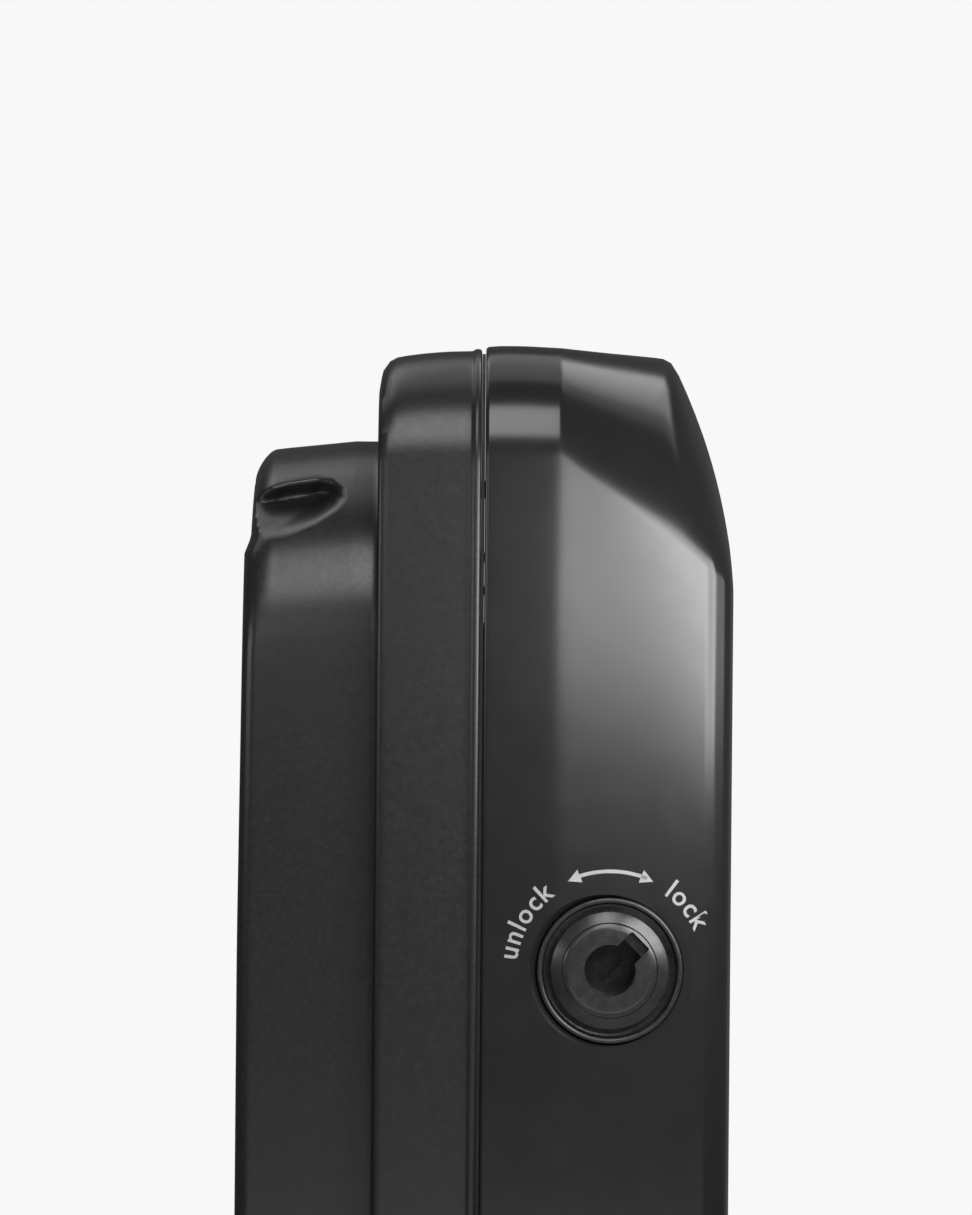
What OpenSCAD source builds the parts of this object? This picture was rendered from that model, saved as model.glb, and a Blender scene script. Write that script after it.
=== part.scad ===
// Frame-mounted traction battery pack, standing on its lower end.
// Millimetres. +Z is the long axis, -X the side that drops into the frame, +X the curved outer face,
// and the key lock is on the -Y side.

/* [Casing] */
// Height of the pack, standing on its lower end
pack_h = 392; // [390:1:430]
// Depth from the frame side to the outer face
pack_d = 88; // [87:0.5:96]
// Width across the two side walls
pack_w = 84; // [83:0.5:92]
// Thickness of the moulded walls
wall = 2.6; // [2.2:0.1:2.8]
// How far each side of the narrow part, which drops into the frame, is set in
side_step = 4.5; // [3.5:0.5:5]
// Depth of that narrow part
tongue_d = 24.3; // [22:0.1:25]
// How far the top of the narrow part lies below the top of the pack
tongue_drop = 16.9; // [15:0.1:19]
// How far the top of the frame-side casing lies below the top of the outer casing
top_step = 0.9; // [0.4:0.1:2]
// Distance of the parting line from the middle of the pack, towards the frame
parting_x = 1.1; // [0.5:0.1:2]
// Width of the parting groove
parting_gap = 0.7; // [0.5:0.1:1]
// Distance of the crease on the side walls from the middle of the pack
crease_x = 12.6; // [8:0.1:18]
// Lean of the side walls beyond the crease, in degrees
side_lean = 6; // [2:0.5:7]
// Radius of the outer face's long corners
corner_r = 5; // [4:0.5:9]
// Radius over which the side walls close at the top
shoulder_r = 20; // [16:1:24]
// Radius over which the narrow part closes at its top
tongue_shoulder_r = 36; // [30:1:36]
// Radius of the lower end's edges
foot_r = 5; // [3:0.5:6]
// Slope at which the outer casing's shoulder drops towards the outer face, in degrees
nose_slope = 38; // [30:1:42]
// Where the shoulder starts on the outer face, below the top of the pack
nose_drop = 47; // [44:1:52]
// Bulge of the outer face between its corners
face_crown = 1; // [0.5:0.1:1.5]

/* [Cells] */
// Gap between neighbouring cells
cell_gap = 1; // [0.8:0.1:1.2]
// Room between the block of cells and the casing, at the frame side and at the outer face
block_room = 2.6; // [2.4:0.1:3]
// Room between the ends of the cells and the side walls, for strips, sheets and wires
side_room = 6.8; // [6.6:0.1:7.4]
// Cell groups below the lock
groups_low = 11; // [8:1:11]
// Cell groups above the lock
groups_high = 2; // [1:1:2]
// Height of the space below the cells
end_zone = 38; // [38:0.5:40]
// Depth of a cell holder along the cells
holder_t = 11; // [8:0.5:14]
// Thickness of the nickel strips
strip_t = 0.3; // [0.2:0.05:0.4]
// Thickness of the insulating sheets
sheet_t = 0.6; // [0.4:0.1:0.8]

/* [Lock] */
// Depth of the key lock's axis below the top of the pack
lock_drop = 110.5; // [108:0.5:113]
// Distance of the lock's axis from the middle of the pack
lock_x = 22; // [21:0.5:24]
// Outer radius of the lock's bezel ring
bezel_r = 12.9; // [12.4:0.1:13.4]
// Radius of the lock body's face
lock_face_r = 10.5; // [10.2:0.1:10.8]
// Radius of the turning disc
rotor_r = 8.4; // [8.1:0.1:8.6]
// Radius of the round part of the keyhole
keyhole_r = 4.4; // [4:0.1:4.6]
// Width of the keyhole's slot
key_slot_w = 4.4; // [3.6:0.1:4.6]
// Reach of the keyhole's slot from the lock's axis
key_slot_reach = 7.7; // [7:0.1:7.8]
// Radius at which the drive pin turns
pin_path_r = 6; // [5.5:0.1:6.2]
// Radius of the drive pin and of the guide screws' shoulders
pin_r = 2; // [1.6:0.1:2.2]
// Radius of the latch bolt
bolt_r = 3; // [2.4:0.1:3.4]
// Height of the striker pocket
pocket_h = 8; // [7:0.1:8.2]
// Width of the striker pocket
pocket_w = 14; // [10:0.5:18]
// Depth of the striker pocket
pocket_d = 12; // [11.5:0.5:14]

/* [Grip] */
// Depth of the top of the finger grip below the top of the pack
grip_drop = 24.4; // [24:0.1:27]
// Height of the finger grip at the frame-side edge
grip_h = 11.4; // [9:0.1:12]
// Reach of the finger grip from the frame-side face
grip_reach = 19.2; // [16:0.1:20]
// Depth of the finger grip, measured from the narrow part's side wall
grip_depth = 21; // [18:0.5:22]
// How far the frame-side face is set back above the grip
grip_setback = 1.2; // [0.6:0.1:1.6]

/* [Lower end] */
// Width of the discharge socket's recess
socket_w = 42; // [36:1:44]
// Depth of that recess across the pack
socket_d = 22; // [18:1:22]
// How deep the recess goes
socket_h = 16; // [12:0.5:18]
// Distance of the socket from the middle of the pack, towards the frame
socket_x = 22; // [21:0.5:23]
// Radius of the charge socket
charge_r = 6; // [5.5:0.1:6.5]
// Depth of the charge socket
charge_depth = 12; // [9:0.5:14]
// Height of the charge socket above the lower end
charge_z = 24; // [23:0.5:25]
// Distance of the charge socket from the middle of the pack
charge_x = 11; // [10.5:0.5:13]

/* [Controls] */
// Radius of the power button
button_r = 6.5; // [5:0.1:7]
// Travel of the power button
button_travel = 0.8; // [0.5:0.1:1]
// Height of the power button above the lock's axis
button_rise = 8.5; // [8:0.5:9]
// Length of the charge indicator's window
window_len = 16; // [12:0.5:17]
// Width of the charge indicator's window
window_w = 5; // [4:0.5:7]

/* [Fasteners and clearances] */
// Radius of the casing screws' shanks
screw_r = 1.5; // [1.2:0.1:1.8]
// Radius of the casing screws' heads
head_r = 2.8; // [2.4:0.1:3]
// Radius of the screw towers in the casing
tower_r = 4.6; // [4.4:0.1:5]
// Clearance of a piece that is fitted and stays still
fit = 0.05; // [0.02:0.01:0.1]
// Clearance between moving pieces
run = 0.4; // [0.3:0.05:0.5]
// Clearance of the drive pin in the latch's yoke
yoke_gap = 0.5; // [0.4:0.05:0.6]

/* [Hidden] */
$fn = 48;
half_d = pack_d / 2;
half_w = pack_w / 2;
half_tw = half_w - side_step;
step_x = -half_d + tongue_d;
tongue_top = pack_h - tongue_drop;
lean = tan(side_lean);
nose_r = half_w + 1;

// Cells: rows across the pack, groups along it, as large as the casing's depth and height allow
rows = 4;
holder_rim = 0.8;
bay_half = 21.5;
lock_z = pack_h - lock_drop;
depth_pitch = (pack_d - 2 * (wall + block_room)) / rows;
tower_room = 6.4;
height_pitch = (lock_z - bay_half - tower_room - end_zone - 2 * holder_rim) / groups_low;
cell_pitch = min(depth_pitch, height_pitch);
cell_d = cell_pitch - cell_gap;
cell_len = pack_w - 2 * (wall + side_room);
row_x = [for (i = [0:rows - 1]) (i - (rows - 1) / 2) * cell_pitch];
block_half = rows / 2 * cell_pitch;
groups = groups_low + groups_high;
low_top = end_zone + groups_low * cell_pitch;
high_base = lock_z + bay_half;
high_top = high_base + groups_high * cell_pitch;
cell_half = cell_len / 2;
strip_y = cell_half + strip_t;
sheet_gap = 0.3;
sheet_y = strip_y + sheet_gap + sheet_t;
tongue_in = half_tw - wall;
wide_in = half_w - wall;
function group_z(i) = i < groups_low ? end_zone + (i + 0.5) * cell_pitch
    : high_base + (i - groups_low + 0.5) * cell_pitch;
function pad2(i) = i < 10 ? str("0", i) : str(i);

// Control board above the cells
board_t = 1.6;
standoff_h = 5;
board_z = high_top + holder_rim + standoff_h;
board_half_x = 26;
board_half_y = wide_in - 9.4;
board_cx = 8;
board_top = board_z + board_t;
board_end_y = board_half_y - 5;
connector_y = board_half_y - 10;
transistor_h = 4.4;

// Lock stack, measured inwards from the middle plane of the -Y wall's pad
pad_r = bezel_r + 1.5;
pad_y = half_w - 1;
bezel_depth = 3.2;
seat_depth = 4.2;
shelf_t = 2.8;
barrel_r = lock_face_r - 1;
spindle_r = rotor_r - 1.9;
barrel_end = pad_y - 19;
plug_y = -pad_y + 12;
plug_r = keyhole_r - 0.4;
cam_t = 2.5;
cam_y = barrel_end - run - cam_t;
plate_t = 3;
plate_y = cam_y - run - plate_t;
disc_t = 2.4;
pin_z = lock_z - pin_path_r * sin(45);
latch_travel = 2 * pin_path_r * sin(45);
stud_x = [step_x - 4.3, -parting_x - 6.5];
stud_z = lock_z + 3.5;
plate_low = lock_z - 13;
plate_high = lock_z + 10.5;
pocket_z = lock_z - 6.5;
bolt_x = -half_d + wall + 4.4;
arm_t = 3;
nut_t = 4;

// Casing screws: height and half spacing of each pair
screw_rows = [[9, socket_w / 2 + 10], [lock_z - 23, half_w - 15], [board_z + 19, half_tw - grip_depth - 8.5]];
seat_x = -parting_x - 7;
screw_head_t = 2.4;
insert_r = screw_r + 1.1;
insert_len = 8;

// Finger grip
grip_top = pack_h - grip_drop;
setback_z = grip_top - grip_h;

// Charge socket and its cap
port_y = half_w - 2.6;
port_wall = 3.2;
port_flange_t = 1.6;
charge_mouth = 6;
cap_r = charge_r + 3.4;
cap_t = 1.5;
cap_gap = 0.3;
strap_half = 4;
trunnion_r = 0.7;
trunnion_len = 1.2;
cap_plug = 1;
cap_hinge_z = charge_z + cap_r + 1.6;
cap_hinge_y = port_y + cap_gap + cap_t / 2;
hinge_room = 1.8;
charge_pin_r = 1.1;
charge_pin_path = 3.2;

// Blades and screws of the discharge socket
contact_pitch = (socket_w - 12) / 4;
contact_y = [for (i = [-2:2]) i * contact_pitch];
tail_z = wall + socket_h + 6;
blade_w = 4;
blade_t = 1.2;
blade_base = 3;
socket_screw_y = socket_w / 2 + 3.2;
socket_screw_r = 1.2;

// Fuse on its posts, inside the outer casing's lower end
fuse_x = half_d - 18;
fuse_y = [4, 20];
fuse_z = 9;

// Wires in the channel beside the cells
wire_y = wide_in - 2.7;
heavy_r = 2.1;
light_r = 1.4;
positive_x = -8.2;
negative_x = -3.4;
pack_negative_x = 1.4;
harness_x = 7.9;
harness_w = 7.4;
charge_wire_x = [13.4, 16.6];

// Controls on the outer face
button_z = lock_z + button_rise;
window_z = lock_z - 9;
control_x = half_d - wall - 8.5;
control_face = half_d - 0.5;
board_screw_z = [lock_z - 19, lock_z + 19];

// A corner from angle a to b about c, as points on an arc
function arc(c, r, a, b, n = 8) = [for (i = [0:n]) c + r * [cos(a + (b - a) * i / n),
    sin(a + (b - a) * i / n)]];

// Side outline of the outer casing, in X and Z
module outer_side() {
    polygon(concat(
        [[-parting_x - 3, 0], [half_d - foot_r, 0]],
        arc([half_d - foot_r, foot_r], foot_r, -90, 0, 5),
        [[half_d, pack_h - 48.5]],
        arc([half_d - 100, pack_h - 48.5], 100, 3, 26, 6),
        arc([half_d - 14, pack_h - 5.6], 4, 24, 85, 4),
        [[half_d - 24, pack_h - 0.9], [half_d - 31.4, pack_h - 0.3], [6, pack_h], [2, pack_h],
         [-parting_x - 3, pack_h - 0.4]]));
}

// Side outline of the wide part of the frame-side casing
module middle_side() {
    top = pack_h - top_step;
    polygon(concat(
        [[step_x, 0], [-parting_x + 4, 0], [-parting_x + 4, top], [-parting_x - 7, top - 0.2],
         [-parting_x - 12, top - 0.7]],
        arc([step_x + 4.4, top - 5.1], 4, 98, 165, 5),
        [[step_x + 0.3, top - 10]]));
}

// Side outline of the narrow part, set back above the grip
module tongue_side() {
    inner = -half_d;
    polygon(concat(
        [[inner, 0], [step_x + 6, 0], [step_x + 6, tongue_top], [step_x - 4, tongue_top - 0.1],
         [inner + 10.1, tongue_top - 0.8]],
        arc([inner + 7.6, tongue_top - 6.4], 5.1, 95, 165, 5),
        [[inner + grip_setback + 1.1, tongue_top - 7.4], [inner + grip_setback + 0.7, tongue_top - 10.6],
         [inner + grip_setback + 0.5, setback_z + 1.4], [inner + 0.6, setback_z - 1.6],
         [inner + 0.5, setback_z - 16], [inner, setback_z - 70]]));
}

// Front outline in Y and Z: straight sides, closed over a wide shoulder, with its height at the middle
module front_outline(half, top, shoulder, inset = 0) {
    h = half - inset;
    r = shoulder - inset;
    t = top - inset;
    polygon(concat(
        arc([h - foot_r, foot_r + inset], foot_r, -90, 0, 4),
        arc([h - r, t - r], r, 0, 90, 12),
        arc([-h + r, t - r], r, 90, 180, 12),
        arc([-h + foot_r, foot_r + inset], foot_r, 180, 270, 4)));
}

// Plan outline of the wide part: square to the crease, then leaning in to the outer face's corners
module wide_plan(inset = 0) {
    r = corner_r - inset;
    cx = half_d - corner_r - face_crown;
    cy = half_w - (cx - crease_x) * lean - corner_r / cos(side_lean);
    near = half_d - inset - face_crown / 4;
    right = concat([[step_x + inset, -half_w + inset], [crease_x, -half_w + inset]],
        arc([cx, -cy], r, -90 + side_lean, -8, 6), [[near, -cy / 2]]);
    left = [for (i = [len(right) - 1:-1:0]) [right[i][0], -right[i][1]]];
    polygon(concat(right, [[half_d - inset, 0]], left));
}

// Plan outline of the narrow part
module tongue_plan(inset = 0) {
    r = 2.5;
    h = half_tw - inset;
    x = -half_d + inset;
    polygon(concat([[step_x + 6, -h], [step_x + 6, h]],
        arc([x + r, h - r], r, 90, 180, 5), arc([x + r, -h + r], r, 180, 270, 5)));
}

// The outer casing's shoulder, drawn across its own slope: it grows as it drops to the outer face
module nose_form(inset = 0) {
    a = nose_r - inset;
    b = nose_r * cos(nose_slope) - inset;
    c = half_w - nose_r;
    h = half_w - inset + 1;
    right = concat([[h, -2 * pack_h], [h, -1]], [for (i = [0:11]) [c + a * cos(8 * i), b * sin(8 * i)]]);
    left = [for (i = [len(right) - 1:-1:0]) [-right[i][0], right[i][1]]];
    translate([half_d, 0, pack_h - nose_drop]) rotate([0, nose_slope, 0]) rotate([90, 0, 90])
        linear_extrude(4 * pack_h, center = true) polygon(concat(right, left));
}

module along_y() { rotate([90, 0, 0]) linear_extrude(3 * pack_w, center = true) children(); }
module along_x() {
    rotate([90, 0, 90]) linear_extrude(3 * pack_d, center = true) children();
}

// The casing's full form, or with inset the space inside it
module wide_form(inset = 0) {
    intersection() {
        linear_extrude(3 * pack_h, center = true) wide_plan(inset);
        along_y() offset(delta = -inset) union() { outer_side(); middle_side(); }
        along_x() front_outline(half_w, pack_h, shoulder_r, inset);
        nose_form(inset);
    }
}
module tongue_form(inset = 0) {
    intersection() {
        linear_extrude(3 * pack_h, center = true) tongue_plan(inset);
        along_y() offset(delta = -inset) tongue_side();
        along_x() front_outline(half_tw, tongue_top, tongue_shoulder_r, inset);
    }
}

// Half space on one side of the parting groove
module outer_half() {
    translate([-parting_x + parting_gap / 2, -pack_w, -1]) cube([pack_d, 2 * pack_w, pack_h + 2]);
}
module inner_half() {
    translate([-parting_x - parting_gap / 2 - pack_d, -pack_w, -1]) cube([pack_d, 2 * pack_w, pack_h + 2]);
}

// A round bar along Y from y = a to y = b
module bar_y(x, z, r, a, b, fn = 48) {
    translate([x, min(a, b), z]) rotate([-90, 0, 0]) cylinder(r = r, h = abs(b - a), $fn = fn);
}
// A round bar along X from x = a to x = b
module bar_x(y, z, r, a, b, fn = 32) {
    translate([min(a, b), y, z]) rotate([0, 90, 0]) cylinder(r = r, h = abs(b - a), $fn = fn);
}
// A round bar along Z from z = a to z = b
module bar_z(x, y, r, a, b) { translate([x, y, a]) cylinder(r = r, h = b - a); }
// Plane of the latch plate's inner face, moved outwards by d
function plate_y_of(d) = -(plate_y + d);
// A block between two opposite corners
module block(a, b) { translate(a) cube(b - a); }

// Finger grip on one side: a drop-shaped pocket in the narrow part's side wall, open to the frame side
module grip_outline(grow = 0) {
    x0 = -half_d - 1;
    tip = [-half_d + grip_reach, grip_top - 2.6];
    offset(delta = grow) polygon([
        [x0, grip_top - 1.8], [-half_d + 8, grip_top - 0.7], [tip[0] - 2, grip_top],
            [tip[0] - 0.3, grip_top - 1.1],
        tip, [tip[0] - 1.2, tip[1] - 2.2], [tip[0] - 3.6, tip[1] - 4.2], [tip[0] - 7.2, tip[1] - 6.2],
        [tip[0] - 11.6, tip[1] - 7.8], [x0, setback_z]]);
}
module grip_pocket(grow = 0) {
    deep = -half_tw + grip_depth + grow;
    intersection() {
        along_y() grip_outline(grow);
        // the floor runs out towards the lower edge
        along_x() polygon([[-half_w, grip_top + 3], [deep, grip_top + 3], [deep, grip_top - 3.5 - grow],
            [-half_tw + 3.4 + grow, setback_z - 0.6 - grow], [-half_w, setback_z - 4]]);
    }
}
module grips(grow = 0) {
    for (s = [0, 1]) mirror([0, s, 0]) grip_pocket(grow);
}

module at_screws() {
    for (row = screw_rows) for (s = [-1, 1]) translate([0, s * row[1], row[0]]) children();
}

// Striker pocket in the frame-side face, crossed by the latch bolt
module striker_space() {
    block([-half_d - 1, -pocket_w / 2, pocket_z - pocket_h / 2],
        [-half_d + pocket_d, pocket_w / 2, pocket_z + pocket_h / 2]);
}
module striker_liner() {
    t = 2;
    block([-half_d + 1, -pocket_w / 2 - t, pocket_z - pocket_h / 2 - t],
        [-half_d + pocket_d + t, pocket_w / 2 + t, pocket_z + pocket_h / 2 + t]);
}

module socket_space(grow, z0, z1) {
    block([-socket_x - socket_d / 2 - grow, -socket_w / 2 - grow, z0],
        [-socket_x + socket_d / 2 + grow, socket_w / 2 + grow, z1]);
}

module inner_shell() {
    color("#2b2b2c") difference() {
        union() {
            intersection() {
                difference() {
                    union() { wide_form(); tongue_form(); }
                    union() { wide_form(wall); tongue_form(wall); }
                }
                inner_half();
            }
            // raised bead along the parting groove
            intersection() {
                difference() { wide_form(-0.35); wide_form(wall / 2); }
                block([-parting_x - parting_gap / 2 - 1.5, -pack_w, foot_r],
                    [-parting_x - parting_gap / 2, pack_w, pack_h - top_step + 0.2]);
            }
            intersection() { tongue_form(0.3); grips(2.2); }
            striker_liner();
            intersection() {
                at_screws() bar_x(0, 0, tower_r, -half_d, -parting_x - parting_gap);
                union() { tongue_form(0.3); wide_form(0.3); }
            }
            bar_y(stud_x[0], stud_z, 4, -half_tw + 1, plate_y_of(plate_t + run));
            bar_y(stud_x[1], stud_z, 4, -half_w + 1, plate_y_of(plate_t + run));
        }
        grips();
        striker_space();
        bar_z(bolt_x, 0, bolt_r + 0.08, pocket_z, pocket_z + pocket_h / 2 + 5);
        socket_space(fit, -1, wall + 2);
        at_screws() {
            bar_x(0, 0, head_r + 0.3, -half_d - 1, seat_x);
            bar_x(0, 0, screw_r + 0.2, -half_d, 0);
        }
        for (x = stud_x) bar_y(x, stud_z, pin_r + fit, plate_y_of(-1), plate_y_of(10));
        for (s = [-1, 1]) bar_z(-socket_x, s * socket_screw_y, socket_screw_r + 0.1, -1, wall + 1);
    }
}

module outer_shell() {
    color("#2a2a2b") difference() {
        union() {
            intersection() {
                difference() { wide_form(); wide_form(wall); }
                outer_half();
            }
            bar_y(lock_x, lock_z, pad_r, -pad_y, -pad_y + seat_depth + shelf_t);
            bar_y(charge_x, charge_z, cap_r + 2, -half_w + wall / 2 + 0.6, -port_y + port_wall);
            block([charge_x - strap_half - 2.5, -half_w + wall / 2 + 0.6, charge_z],
                [charge_x + strap_half + 2.5, -port_y + port_wall, cap_hinge_z + 3]);
            intersection() {
                at_screws() bar_x(0, 0, tower_r, -parting_x + parting_gap, half_d);
                wide_form(0.3);
            }
            for (z = board_screw_z) bar_x(0, z, 2.6, control_x + board_t, half_d - wall / 2);
            bar_x(0, button_z, button_r + 3, half_d - wall - 1.4, half_d - 1);
            // posts for the fuse holder
            for (y = fuse_y) block([fuse_x - 2, y - 2, wall / 2], [fuse_x + 2, y + 2, fuse_z]);
        }
        bar_y(lock_x, lock_z, bezel_r + fit, -half_w - 2, -pad_y + seat_depth);
        bar_y(lock_x, lock_z, barrel_r + 0.1, -half_w, -barrel_end);
        bar_y(charge_x, charge_z, cap_r + 0.6, -half_w - 2, -port_y);
        block([charge_x - strap_half - cap_gap, -half_w - 2, charge_z],
            [charge_x + strap_half + cap_gap, -port_y, cap_hinge_z + hinge_room]);
        bar_x(-cap_hinge_y, cap_hinge_z, trunnion_r + fit, charge_x - strap_half - trunnion_len - 0.2,
            charge_x + strap_half + trunnion_len + 0.2);
        bar_y(charge_x, charge_z, charge_r + 2 + fit, -half_w - 2, -port_y + port_flange_t);
        bar_y(charge_x, charge_z, charge_r + 1.2 + fit, -half_w - 2, -half_w + 12);
        bar_x(0, button_z, button_r + 1.5 + fit, half_d - 2.2, half_d + 2);
        bar_x(0, button_z, button_r + run, half_d - 8, half_d + 2);
        window_block(fit, half_d - wall - 2, half_d + 2);
        at_screws() bar_x(0, 0, insert_r, -parting_x, -parting_x + insert_len + 1);
        at_screws() bar_x(0, 0, screw_r + 0.3, -parting_x, 13);
        for (z = board_screw_z) bar_x(0, z, 0.9 + fit, control_x, control_x + 4.4);
    }
}

module window_block(grow, x0, x1) {
    block([x0, -window_w / 2 - grow, window_z - window_len / 2 - grow],
        [x1, window_w / 2 + grow, window_z + window_len / 2 + grow]);
}

module shell_gasket() {
    gap = parting_gap - 0.1;
    color("#151515") intersection() {
        difference() { wide_form(1.3); wide_form(wall); }
        block([-parting_x - gap / 2, -pack_w, 0], [-parting_x + gap / 2, pack_w, pack_h]);
    }
}
module shell_screws() {
    color("silver") at_screws() difference() {
        union() {
            bar_x(0, 0, head_r, seat_x - screw_head_t, seat_x);
            bar_x(0, 0, screw_r, seat_x, -parting_x + insert_len);
        }
        bar_x(0, 0, 1.3, seat_x - screw_head_t - 1, seat_x - 0.8, 6);
    }
}
module thread_inserts() {
    color("goldenrod") at_screws() difference() {
        bar_x(0, 0, insert_r, -parting_x + parting_gap, -parting_x + parting_gap + insert_len);
        bar_x(0, 0, screw_r + fit, -parting_x, 20);
    }
}

// One group of cells side by side, turned end for end from group to group
module cell_group(i) {
    cap = 0.8;
    turn = i % 2;
    color(i % 2 == 0 ? "#3f7f5f" : "#3a6fa0")
        for (x = row_x) mirror([0, turn, 0]) {
            bar_y(x, group_z(i), cell_d / 2, -cell_half, cell_half - cap);
            bar_y(x, group_z(i), 4.4, cell_half - cap, cell_half);
        }
}

module holder(first, last) {
    z0 = group_z(first) - cell_pitch / 2 - holder_rim;
    z1 = group_z(last) + cell_pitch / 2 + holder_rim;
    color("#d9d9d2") difference() {
        block([-block_half - 0.4, -cell_half, z0], [block_half + 0.4, -cell_half + holder_t, z1]);
        for (i = [first:last]) for (x = row_x) bar_y(x, group_z(i),
            cell_d / 2 + 0.15, -cell_half - 1, cell_half);
    }
}
module lower_holder_left() { holder(0, groups_low - 1); }
module lower_holder_right() { mirror([0, 1, 0]) holder(0, groups_low - 1); }
module upper_holder_left() { holder(groups_low, groups - 1); }
module upper_holder_right() { mirror([0, 1, 0]) holder(groups_low, groups - 1); }

// A nickel strip over one group, or joining two neighbours, slotted over each cell's weld
module strip(i, j) {
    m = 3.2;
    color("silver") difference() {
        block([row_x[0] - 5.5, -strip_y, group_z(i) - m - 1],
            [row_x[rows - 1] + 5.5, -cell_half, group_z(j) + m + 1]);
        for (k = [i:j]) for (x = row_x)
            block([x - 0.4, -strip_y - 1, group_z(k) - m], [x + 0.4, 0, group_z(k) + m]);
    }
}
module nickel_strips_left() {
    strip(0, 0);
    for (i = [1:2:groups - 1]) strip(i, min(i + 1, groups - 1));
}
module nickel_strips_right() {
    mirror([0, 1, 0]) for (i = [0:2:groups - 1]) strip(i, min(i + 1, groups - 1));
}

module insulation_sheets() {
    color("#b9a56a") for (s = [0, 1]) mirror([0, s, 0]) {
        block([-block_half, -sheet_y, end_zone], [block_half - 3, -sheet_y + sheet_t, low_top]);
        block([-block_half, -sheet_y, high_base], [block_half - 3, -sheet_y + sheet_t, high_top]);
    }
}

// Foam strips between the sheets and the walls of the narrow part
module foam_pads() {
    pad_x = [-block_half + 2, step_x - 1.5];
    low_pad = 2 * cell_pitch;
    high_pad = 1.5 * cell_pitch;
    color("#3a3a3a") for (s = [0, 1]) mirror([0, s, 0]) {
        for (z = [end_zone + cell_pitch, (end_zone + low_top - low_pad) / 2, low_top - cell_pitch - low_pad])
            block([pad_x[0], -tongue_in + fit, z], [pad_x[1], -sheet_y - fit, z + low_pad]);
        block([pad_x[0], -tongue_in + fit, high_base + 2], [pad_x[1],
            -sheet_y - fit, high_base + 2 + high_pad]);
    }
}

module board_corners(dx = 0, dy = 0) {
    for (x = [board_cx - board_half_x + 5, board_cx + board_half_x - 5]) for (s = [-1, 1])
        translate([x, s * (board_half_y - 4), 0]) children();
}
module bms_standoffs() {
    color("goldenrod") board_corners() difference() {
        translate([0, 0, high_top + holder_rim]) cylinder(r = 2.6, h = standoff_h, $fn = 6);
        translate([0, 0, board_z - 4]) cylinder(r = 1.25, h = 5);
    }
}
module bms_board() {
    color("darkgreen") difference() {
        block([board_cx - board_half_x, -board_half_y, board_z],
            [board_cx + board_half_x, board_half_y, board_top]);
        board_corners() translate([0, 0, board_z - 1]) cylinder(r = 1.6, h = 4);
    }
}
module bms_screws() {
    color("silver") board_corners() {
        translate([0, 0, board_top]) cylinder(r = 2.2, h = 1.6);
        translate([0, 0, board_top - 5]) cylinder(r = 1.2, h = 5);
    }
}
module bms_transistors() {
    color("#202020") for (i = [0:5]) for (s = [0, 1])
        translate([board_cx - 18 + i * 6.6 - 2.4, s * 13 - 11.5, board_top]) cube([4.8, 9, transistor_h]);
}
module bms_heat_sink() {
    t = board_top + transistor_h;
    color("lightgrey") translate([board_cx - 21.4, -14, t]) {
        cube([41, 28, 1.6]);
        for (i = [0:8]) translate([1 + i * 4.75, 0, 1.6]) cube([1, 28, 3.4]);
    }
}
module bms_connector() {
    color("ivory") difference() {
        block([harness_x - 6, connector_y - 3, board_top], [harness_x + 6, connector_y + 3, board_top + 6]);
        block([harness_x - 5, connector_y - 2, board_top + 1.4],
            [harness_x + 5, connector_y + 2, board_top + 7]);
    }
}

// A wire lead down the +Y side channel, turned inwards at both ends to x, y targets at the same x
module lead(x, r, z0, y0, z1, y1, bend = 6) {
    module elbow(z, up) {
        translate([x, wire_y - bend, z]) mirror([0, 0, up ? 0 : 1]) rotate([90, 0, 90])
            rotate_extrude(angle = 90) translate([bend, 0]) circle(r = r, $fn = 24);
    }
    translate([x, wire_y, z0 + bend]) cylinder(r = r, h = z1 - z0 - 2 * bend, $fn = 24);
    elbow(z1 - bend, true);
    elbow(z0 + bend, false);
    bar_y(x, z1, r, y1, wire_y - bend, 24);
    bar_y(x, z0, r, y0, wire_y - bend, 24);
}
module balance_harness() {
    top = board_top + 7.4;
    x = [harness_x - harness_w / 2, harness_x + harness_w / 2];
    color("#b8b8b8") {
        block([x[0], wire_y - 0.6, end_zone + 6], [x[1], wire_y + 0.6, top]);
        block([x[0], connector_y - 1.6, top - 1.2], [x[1], wire_y - 0.6, top]);
        block([x[0], connector_y - 1.6, board_top + 1.6], [x[1], connector_y + 1.6, top - 1.2]);
        for (i = [0:groups - 1])
            block([x[0] + 1, sheet_y + 0.1, group_z(i) - 2], [x[0] + 2.5, wire_y - 0.6, group_z(i) + 2]);
    }
}
module pack_wire_positive() {
    color("firebrick")
        bar_z(board_cx + 15, cell_half - holder_t / 2, heavy_r, high_top + holder_rim, board_z);
}
module pack_wire_negative() {
    z1 = board_top + heavy_r + fit;
    color("black") lead(pack_negative_x, heavy_r, end_zone - 5, cell_half - 6, z1, board_end_y);
}
module discharge_wires() {
    z0 = tail_z + heavy_r + fit;
    z1 = board_top + heavy_r + fit;
    color("firebrick") lead(positive_x, heavy_r, z0, contact_y[4] - 2, z1, board_end_y);
    color("black") lead(negative_x, heavy_r, z0, contact_y[0] - 2, z1, board_end_y);
}
module charge_wires() {
    y0 = -port_y + charge_depth + 3 + fit;
    z1 = board_top + light_r + fit;
    for (i = [0, 1]) color(i == 0 ? "red" : "black") lead(charge_wire_x[i],
        light_r, charge_z, y0, z1, board_end_y);
}
module fuse_holder() {
    color("#262626") difference() {
        block([fuse_x - 6, fuse_y[0] - 3, fuse_z], [fuse_x + 6, fuse_y[1] + 3, fuse_z + 9]);
        block([fuse_x - 3, fuse_y[0] - 0.5, fuse_z + 3], [fuse_x + 3, fuse_y[1] + 0.5, fuse_z + 10]);
    }
}
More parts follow.
